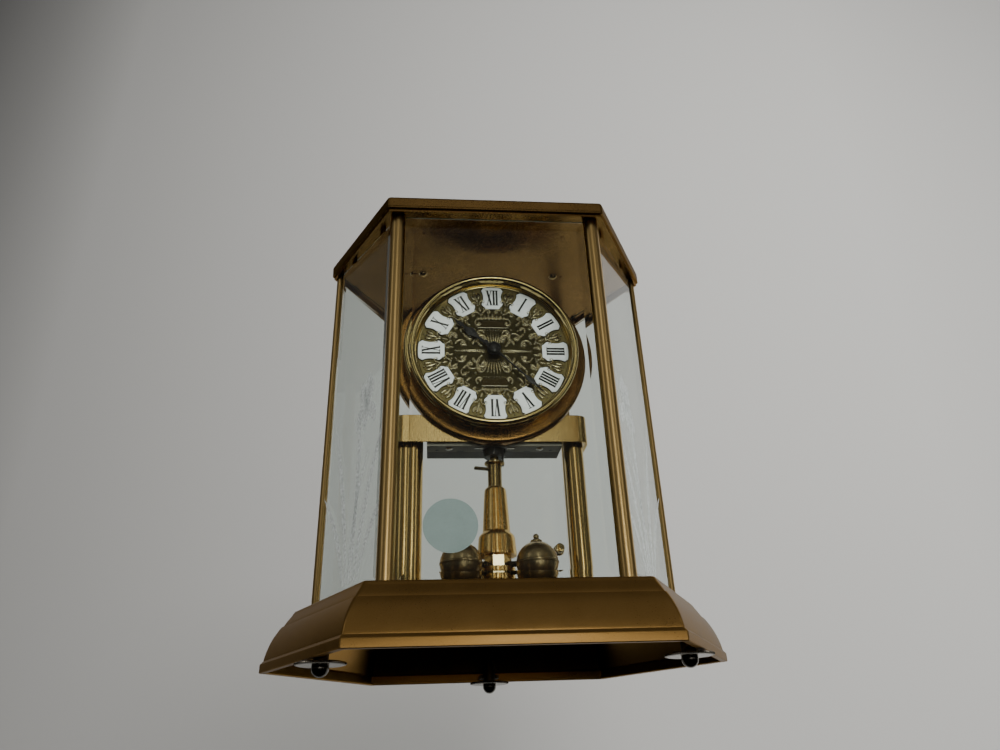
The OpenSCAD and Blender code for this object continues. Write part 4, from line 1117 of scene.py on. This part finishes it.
hour_box, minute_box = box("hour_hand"), box("minute_hand")
hour_tip = (hour_box[0][0], hour_box[1][2] - dial_z)
minute_tip = (minute_box[1][0], minute_box[0][2] - dial_z)
hour_angle = math.degrees(math.atan2(hour_tip[0], hour_tip[1]))
minute_angle = math.degrees(math.atan2(minute_tip[0], minute_tip[1]))
hour_len = math.hypot(*hour_tip) - 0.1
minute_len = math.hypot(*minute_tip) - 0.1
pointer("hour_pointer", "hour", "hour_hand",
        [(-5.8, 0.9), (-4.6, 1.3), (-3.0, 1.2), (2.0, 1.15), (8.0, 1.0), (12.0, 1.0), (13.2, 1.25),
         (14.2, 1.05), (16.0, 1.9), (18.6, 2.75), (20.6, 2.3), (22.8, 1.1), (24.2, 0.75), (25.4, 1.0),
         (27.0, 1.35), (28.6, 0.95), (hour_len, 0.12)], (2.32, 3.95), hour_angle)
pointer("minute_pointer", "minute", "minute_hand",
        [(-7.8, 0.7), (-6.4, 1.0), (-4.0, 0.8), (2.0, 0.75), (12.0, 0.5), (19.0, 0.45), (20.6, 0.85),
         (22.0, 0.5), (25.0, 0.5), (27.0, 0.9), (29.6, 1.55), (31.6, 1.45), (34.4, 0.75), (36.4, 0.5),
         (minute_len, 0.1)], (1.02, 3.3), minute_angle)
low, high = box("hand_nut")
cap_form = Form()
w0, w1 = -high[1], -low[1]
r = high[0]
cap_form.lathe([[1.02, w0], [r - 0.1, w0], [r, w0 + 0.12], [r, w0 + 0.55], [r - 0.25, w0 + 0.7]]
               + [[(r - 0.35) * math.cos(a), w0 + 0.75 + (w1 - w0 - 0.75) * math.sin(a)]
                  for a in [math.pi / 2 * i / 8 for i in range(9)]], DIAL, 56)
cap_form.piece("hand_cap", "minute", hand_black, "black_steel", "hand_nut")

# ---- Movement ----
# A quartz clock movement in a grey moulded case with a rear cover. Below it: two screws, two slots and
# the contact tabs on both sides of the opening for the pendulum drive.
grey_case = metal("grey_moulding", (122, 118, 104), (92, 88, 76), (150, 146, 130), 0.38, 0.55,
                  patch=90.0, wear=0.0, bump=0.5, metallic=0.0)
cover_grey = metal("cover_moulding", (74, 72, 66), (52, 50, 46), (110, 106, 98), 0.42, 0.6,
                   patch=90.0, wear=0.0, bump=0.5, metallic=0.0)
knob_black = metal("black_moulding", (30, 29, 28), (16, 16, 16), (84, 80, 74), 0.3, 0.46,
                   patch=200.0, wear=0.4, bump=0.3, metallic=0.0)
dress("movement_case", grey_case, 0.35)
dress("movement_cover", cover_grey, 0.35)
dress("movement_screws", screw_brass, 0.15)
dress("setting_knob", knob_black, 0.15)
under = box("movement_case")[0][2]
base_screw = (27.0, -8.6)
silver = metal("contact_tab", (196, 194, 186), (130, 126, 118), (250, 248, 240), 0.12, 0.24,
               patch=300.0, wear=0.5, bump=0.15)
details = Form()
slots = Form()
for s in (-1, 1):
    place = (Matrix.Translation((s * base_screw[0], base_screw[1], under))
             @ Matrix.Rotation(math.pi, 4, "X"))
    details.lathe([[1.2, -0.4], [2.1, -0.4], [2.1, 0.25], [1.75, 0.5], [0.3, 0.62]], place, 36)
    slots.block((-1.5, -0.22, 0.2), (1.5, 0.22, 0.66), place @ Matrix.Rotation(0.5 * s, 4, "Z"), 0.02)
    slots.block((s * 20 - 2.2, -5.4, under - 0.05), (s * 20 + 2.2, -3.6, under + 0.5), None, 0.1)
    details.block((s * 9.6 - 2.3, -10.4, under - 0.35), (s * 9.6 + 2.3, -9.2, under + 0.3), None, 0.12)
    slots.lathe([[0.3, 0.06], [0.9, 0.06], [1.0, 0.0], [1.0, -0.3]],
                Matrix.Translation((s * 34, -6.0, under)) @ Matrix.Rotation(math.pi, 4, "X"), 24)
details.piece("movement_base_screws", "case", silver, "steel")
slots.piece("movement_base_slots", "case", knob_black, "black_plastic")
gear_brass = metal("gear_brass", (206, 172, 100), (150, 118, 58), (250, 226, 164), 0.2, 0.32,
                   patch=300.0, wear=0.6, bump=0.1)
gear_white = metal("gear_moulding", (214, 210, 196), (176, 172, 158), (240, 238, 230), 0.34, 0.46,
                   patch=300.0, wear=0.2, bump=0.2, metallic=0.0)
bright_steel = metal("bright_steel", (170, 170, 168), (110, 110, 110), (230, 230, 228), 0.16, 0.3,
                     patch=200.0, wear=0.5, bump=0.15)
winding = metal("coil_copper", (184, 98, 52), (116, 52, 24), (232, 150, 96), 0.2, 0.34,
                stretch=(0.02, 0.02, 4.0), patch=200.0, wear=0.5, bump=1.0)
board = metal("circuit_board", (34, 96, 54), (18, 58, 32), (90, 150, 100), 0.25, 0.4,
              patch=400.0, wear=0.2, bump=0.3, metallic=0.0, coat=0.5)
battery_skin = metal("battery_sleeve", (176, 160, 72), (128, 112, 44), (230, 220, 160), 0.2, 0.34,
                     patch=60.0, wear=0.4, bump=0.1, metallic=0.3, coat=0.4)
dress("minute_arbor hour_wheel motion_wheel", gear_brass)
dress("second_wheel third_wheel centre_wheel", gear_white)
dress("rotor stator", bright_steel)
dress("coil", winding)
dress("circuit_board", board)
dress("battery", battery_skin, 0.4)
dress("drive_rotor", knob_black, 0.15)

# ---- Pendulum ----
# A hollow turned brass assembly that hangs from the drive: stem and collar, a reeded bell, an
# eight-sided hub with a bowl below it, and three balls on short arms.
stem_brass = metal("stem_brass", (214, 186, 124), (96, 74, 42), (250, 230, 180), 0.14, 0.28,
                   patch=520.0, wear=0.6, bump=0.3)
bell_gold = metal("bell_gold", (250, 212, 138), (214, 172, 100), (255, 236, 178), 0.24, 0.28,
                  patch=60.0, wear=0.3, bump=0.0)
hub_gold = metal("hub_gold", (234, 200, 126), (180, 140, 72), (255, 244, 208), 0.08, 0.18,
                 patch=80.0, wear=0.6, bump=0.05)
ball_bronze = metal("ball_bronze", (206, 184, 138), (150, 128, 90), (226, 206, 160), 0.26, 0.34,
                    patch=90.0, wear=0.5, bump=0.06)
floor_at = box("floor_plate")[1][2]
pend_y = middle("drive_rotor")[1]
PEND = Matrix.Translation((0, pend_y, floor_at))
low, high = box("pendulum_stem")
bottom, top = low[2] - floor_at, high[2] - floor_at
collar = bottom + 14.4
stem = Form()
stem.lathe([[4.1, bottom], [4.25, bottom + 0.2], [4.25, bottom + 0.9], [4.05, bottom + 1.1],
            [4.1, collar - 2.4], [4.3, collar - 2.1], [4.3, collar - 1.5], [4.2, collar - 0.9],
            [5.8, collar - 0.1], [6.0, collar + 0.1], [6.0, collar + 0.9], [5.75, collar + 1.2],
            [4.6, collar + 1.2], [4.4, collar + 1.0], [3.1, collar + 1.0], [2.75, collar + 1.2],
            [2.5, collar + 1.7], [2.5, top - 0.3], [2.2, top]], PEND, 64)
stem.piece("stem_turned", "pendulum", stem_brass, "brushed_brass", "pendulum_stem", sharp=28)
arm = Form()
arm.block((3.7, -1.2, collar - 4.0), (12.6, 1.2, collar - 2.4),
          PEND @ Matrix.Rotation(math.radians(195), 4, "Z"), 0.35)
arm.piece("stem_arm", "pendulum", bracket_iron, "dark_bronze")
low, high = box("pendulum_body")
bottom, top = low[2] - floor_at, high[2] - floor_at
bell_line = smooth_line([(0, 10.9), (1.2, 11.0), (5, 10.75), (9, 10.45), (10.8, 10.1), (12.2, 9.1),
                         (13.4, 8.05), (15, 7.8), (20, 7.5), (28, 7.05), (34, 6.65), (37.6, 6.35),
                         (38.8, 6.0), (39.6, 5.2), (40, 4.45)], 4)
groove_at = [-86 + 120 * k + 17 * j for k in range(3) for j in (-1, 0, 1)]
groove_half = 4.2


def reeded(radius, h, depth):
    """A round outline with the bell's grooves, in degrees round the axis."""
    ring = []
    for i in range(360):
        deg = i - 180
        cut = 0.0
        for g in groove_at:
            d = abs((deg - g + 180) % 360 - 180)
            if d < groove_half:
                cut = depth * (1 - (d / groove_half) ** 2)
        a = math.radians(deg)
        ring.append(((radius - cut) * math.cos(a), (radius - cut) * math.sin(a), h))
    return ring


bell = Form()
bell.loft([reeded(p.y, bottom + p.x, 0.75 * min(1.0, (40 - p.x) / 2.0)) for p in bell_line], PEND)
bell.piece("bell_reeded", "pendulum", bell_gold, "gold_bronze", "pendulum_body", sharp=44)
low, high = box("pendulum_hub")
hub_top = high[2] - floor_at
hub_low = hub_top - 7.0
bowl_low = low[2] - floor_at
across = 7.5


def octagon(d, h):
    a = across - d
    q = a * math.tan(math.pi / 8)
    return rounded([(-q, -a), (q, -a), (a, -q), (a, q), (q, a), (-q, a), (-a, q), (-a, -q)],
                   h, 0.25, 2)


hub = Form()
hub.loft([octagon(d, h) for d, h in ((0.3, hub_low), (0.0, hub_low + 0.3), (0.0, hub_top - 0.3),
                                     (0.3, hub_top))], PEND)
hub.piece("hub_octagon", "pendulum", hub_gold, "polished_brass", "pendulum_hub", sharp=20)
bowl = Form()
bowl_line = smooth_line([(bowl_low, 3.9), (bowl_low + 0.5, 4.4), (bowl_low + 1.6, 5.6),
                         (bowl_low + 3.2, 7.0), (hub_low - 6.2, 8.7), (hub_low - 3.6, 9.6),
                         (hub_low - 1.6, 9.95), (hub_low, 10.0)], 4)
bowl.loft([reeded(p.y, p.x, 0.6) for p in bowl_line], PEND)
bowl.piece("hub_bowl", "pendulum", bell_gold, "gold_bronze", sharp=44)
ball_z = 21.0
ball_out = 24.0
ball_r = 11.5
r = ball_r
arms = Form()
balls = Form()
for degrees in (-30, 90, 210):
    turned = PEND @ Matrix.Rotation(math.radians(degrees), 4, "Z")
    spot = turned @ Matrix.Translation((ball_out, 0, ball_z))
    profile = [[r * math.cos(a), r * math.sin(a)]
               for a in [-math.pi / 2 + (math.pi / 2 - 0.085) * i / 22 for i in range(23)]]
    profile += [[r + 0.12, -0.62], [r + 0.3, -0.42], [r + 0.3, -0.16], [r + 0.08, -0.03],
                [r + 0.08, 0.05], [r + 0.27, 0.18], [r + 0.27, 0.42], [r + 0.1, 0.6]]
    profile += [[r * math.cos(a), r * math.sin(a)]
                for a in [0.085 + (1.28 - 0.085) * i / 20 for i in range(21)]]
    profile += [[3.2, r - 0.4], [3.25, r + 0.1], [3.0, r + 0.75], [2.2, r + 1.0], [1.7, r + 1.25],
                [1.55, r + 1.6]]
    profile += [[1.6 * math.cos(a), r + 2.8 + 1.6 * math.sin(a)]
                for a in [-0.9 + (0.9 + math.pi / 2) * i / 12 for i in range(13)]]
    balls.lathe(profile, spot, 96)
    along_x = turned @ Matrix.Translation((0, 0, ball_z + 1)) @ Matrix.Rotation(math.pi / 2, 4, "Y")
    arms.lathe([[1.6, 6.5], [1.6, across + 0.4], [2.1, across + 0.6], [2.1, across + 1.2],
                [1.6, across + 1.5], [1.55, ball_out - r - 0.6], [2.0, ball_out - r - 0.3],
                [2.0, ball_out - r + 0.35]], along_x, 32)
balls.piece("balls_turned", "pendulum", ball_bronze, "dark_bronze", "pendulum_balls", sharp=30)
arms.piece("ball_arms", "pendulum", bracket_iron, "dark_bronze")

# ---- Stage ----
# A floor, and a wall behind it, each shown only from the side that faces the clock. Their paint carries
# painted shade: pale on the right, greyer to the left and near black from 0.6 m to 1 m left.
plain, tree, skin = shader("stage_paint")
across_x = node(tree, "SeparateXYZ", Vector=node(tree, "TexCoord").outputs["Object"]).outputs[0]
# Painted shade across the stage: grey at 0.75 m left, pale at 0.75 m right.
painted_light_to_right = node(tree, "MapRange", Value=across_x, From_Min=-0.75, From_Max=0.75)
shade = blend(tree, painted_light_to_right.outputs[0], (0.36, 0.36, 0.355, 1), (0.90, 0.90, 0.88, 1))
# Painted shadow: near black from 0.6 m to 1 m left and beyond.
painted_shadow_far_left = node(tree, "MapRange", Value=across_x, From_Min=-0.6, From_Max=-1.0)
shade = blend(tree, painted_shadow_far_left.outputs[0], shade, (0.05, 0.05, 0.05, 1))
tree.links.new(shade, skin.inputs["Base Color"])
grit = node(tree, "MapRange", Value=noise(tree, 3.0, 2.0), To_Min=0.75, To_Max=0.85)
tree.links.new(grit.outputs[0], skin.inputs["Roughness"])
gone = node(tree, "BsdfTransparent")
from_back = maths(tree, "MULTIPLY", node(tree, "NewGeometry").outputs["Backfacing"],
                  node(tree, "LightPath").outputs["Is Camera Ray"])
show = node(tree, "MixShader", Fac=from_back)
tree.links.new(skin.outputs[0], show.inputs[1])
tree.links.new(gone.outputs[0], show.inputs[2])
tree.links.new(show.outputs[0], tree.nodes["Material Output"].inputs["Surface"])


def sheet_at(name, corners):
    """One flat sheet of the stage."""
    mesh = bpy.data.meshes.new(name)
    mesh.from_pydata(corners, [], [[0, 1, 2, 3]])
    mesh.materials.append(plain)
    thing = bpy.data.objects.new(name, mesh)
    bpy.context.scene.collection.objects.link(thing)
    return thing


ground_z = cad_bounds[0][2] - 0.0002
stage_half = 3.0
wall_y = 0.6
floor_sheet = sheet_at("stage_floor", [
    (-stage_half, -stage_half, ground_z), (stage_half, -stage_half, ground_z),
    (stage_half, wall_y, ground_z), (-stage_half, wall_y, ground_z)])
floor_sheet.visible_shadow = False
floor_sheet.visible_glossy = False
floor_sheet.visible_diffuse = False
sheet_at("stage_wall", [
    (-stage_half, wall_y, ground_z - 1.0), (stage_half, wall_y, ground_z - 1.0),
    (stage_half, wall_y, stage_half), (-stage_half, wall_y, stage_half)])


def lamp(name, place, target, width, height, power, colour=(1, 1, 1), mirrored=True):
    """A soft panel of light. Only a mirrored one shows in polished metal and glass."""
    light = bpy.data.lights.new(name, "AREA")
    light.shape = "RECTANGLE"
    light.size = width
    light.size_y = height
    light.energy = power
    light.color = colour
    thing = bpy.data.objects.new(name, light)
    bpy.context.scene.collection.objects.link(thing)
    thing.location = place
    thing.rotation_euler = (Vector(target) - Vector(place)).to_track_quat("-Z", "Y").to_euler()
    thing.visible_glossy = mirrored
    thing.visible_transmission = mirrored


lamp("window", (0.06, -1.6, 0.55), (0, 0, 0.12), 0.34, 1.3, 1.5, (1.0, 0.97, 0.9))
lamp("low_window", (0.2, -1.6, 0.09), (0, 0, 0.05), 1.5, 0.26, 1.5, (1.0, 0.95, 0.86))
lamp("bright_pane", (0.2, -1.6, 0.36), (0, 0, 0.06), 0.26, 0.24, 0.7, (1.0, 0.97, 0.9))
lamp("right_window", (1.2, -1.2, 0.5), (0, 0, 0.13), 0.22, 1.2, 0.9, (1.0, 0.97, 0.92))
lamp("left_window", (-1.3, -0.9, 0.8), (0, 0, 0.15), 0.3, 1.0, 0.7, (1.0, 0.98, 0.95))
lamp("low_right", (0.26, -0.95, -0.27), (0, 0, 0.05), 0.2, 0.18, 0.32, (1.0, 0.97, 0.9))
lamp("haze", (0, -1.3, 1.3), (0, 0, 0.12), 2.6, 1.6, 0.9, (1.0, 0.95, 0.86))
lamp("soft_front", (0.35, -1.7, 1.1), (0, 0, 0.13), 1.4, 1.2, 52, (1.0, 0.99, 0.97), False)
lamp("soft_back", (0.3, 1.6, 1.0), (0, 0.2, 0.15), 1.2, 1.0, 14, (1.0, 1.0, 1.0), False)


def lit_set(name, things, excluded):
    """A collection that names what a lamp reaches, or with excluded what it leaves out."""
    kept = bpy.data.collections.new(name)
    for thing in things:
        kept.objects.link(thing)
    for entry in kept.collection_objects:
        entry.light_linking.link_state = "EXCLUDE" if excluded else "INCLUDE"
    return kept


# The lamps are not mirrored in the glass, which would veil what stands behind it. The tall window also
# misses the base, and the low lamp reaches the pendulum only.
panes_made = [t for t in bpy.data.objects if glass in [m.material for m in t.material_slots]]
sheets = lit_set("glass_sheets", panes_made, True)
for thing in [t for t in bpy.data.objects if t.type == "LIGHT"]:
    thing.light_linking.receiver_collection = sheets
off_base = lit_set("off_base", panes_made + [bpy.data.objects["base_moulding"]], True)
bpy.data.objects["window"].light_linking.receiver_collection = off_base
turned_parts = [bpy.data.objects[name] for name in
                ("balls_turned", "bell_reeded", "hub_octagon", "hub_bowl", "stem_turned")]
pendulum_only = lit_set("pendulum_only", turned_parts, False)
bpy.data.objects["low_right"].light_linking.receiver_collection = pendulum_only
world = bpy.data.worlds.new("room")
bpy.context.scene.world = world
world.use_nodes = True
tree = world.node_tree
height = node(tree, "SeparateXYZ", Vector=node(tree, "TexCoord").outputs["Generated"]).outputs[2]
above = node(tree, "MapRange", Value=height, From_Min=-0.1, From_Max=0.1)
sky = blend(tree, above.outputs[0], (0.006, 0.006, 0.005, 1), (0.30, 0.28, 0.25, 1))
tree.links.new(sky, tree.nodes["Background"].inputs["Color"])
tree.nodes["Background"].inputs["Strength"].default_value = 0.26

# ---- Camera ----
# A hand-held view from below the base, a little to the left, tilted up and rolled slightly.
eye = Vector((-0.03631, -0.42035, -0.0332))
yaw, pitch, roll = math.radians(-5.73), math.radians(27.03), math.radians(-2.09)
look = Vector((-math.sin(yaw) * math.cos(pitch), math.cos(yaw) * math.cos(pitch), math.sin(pitch)))
right0 = Vector((math.cos(yaw), math.sin(yaw), 0))
up0 = right0.cross(look)
right_dir = right0 * math.cos(roll) + up0 * math.sin(roll)
up_dir = up0 * math.cos(roll) - right0 * math.sin(roll)
camera = bpy.data.cameras.new("camera")
camera.sensor_width = 36.0
camera.lens = 26.68
camera.clip_start = 0.01
view = bpy.data.objects.new("camera", camera)
bpy.context.scene.collection.objects.link(view)
view.matrix_world = Matrix((
    (right_dir.x, up_dir.x, -look.x, eye.x), (right_dir.y, up_dir.y, -look.y, eye.y),
    (right_dir.z, up_dir.z, -look.z, eye.z), (0, 0, 0, 1)))
bpy.context.scene.camera = view
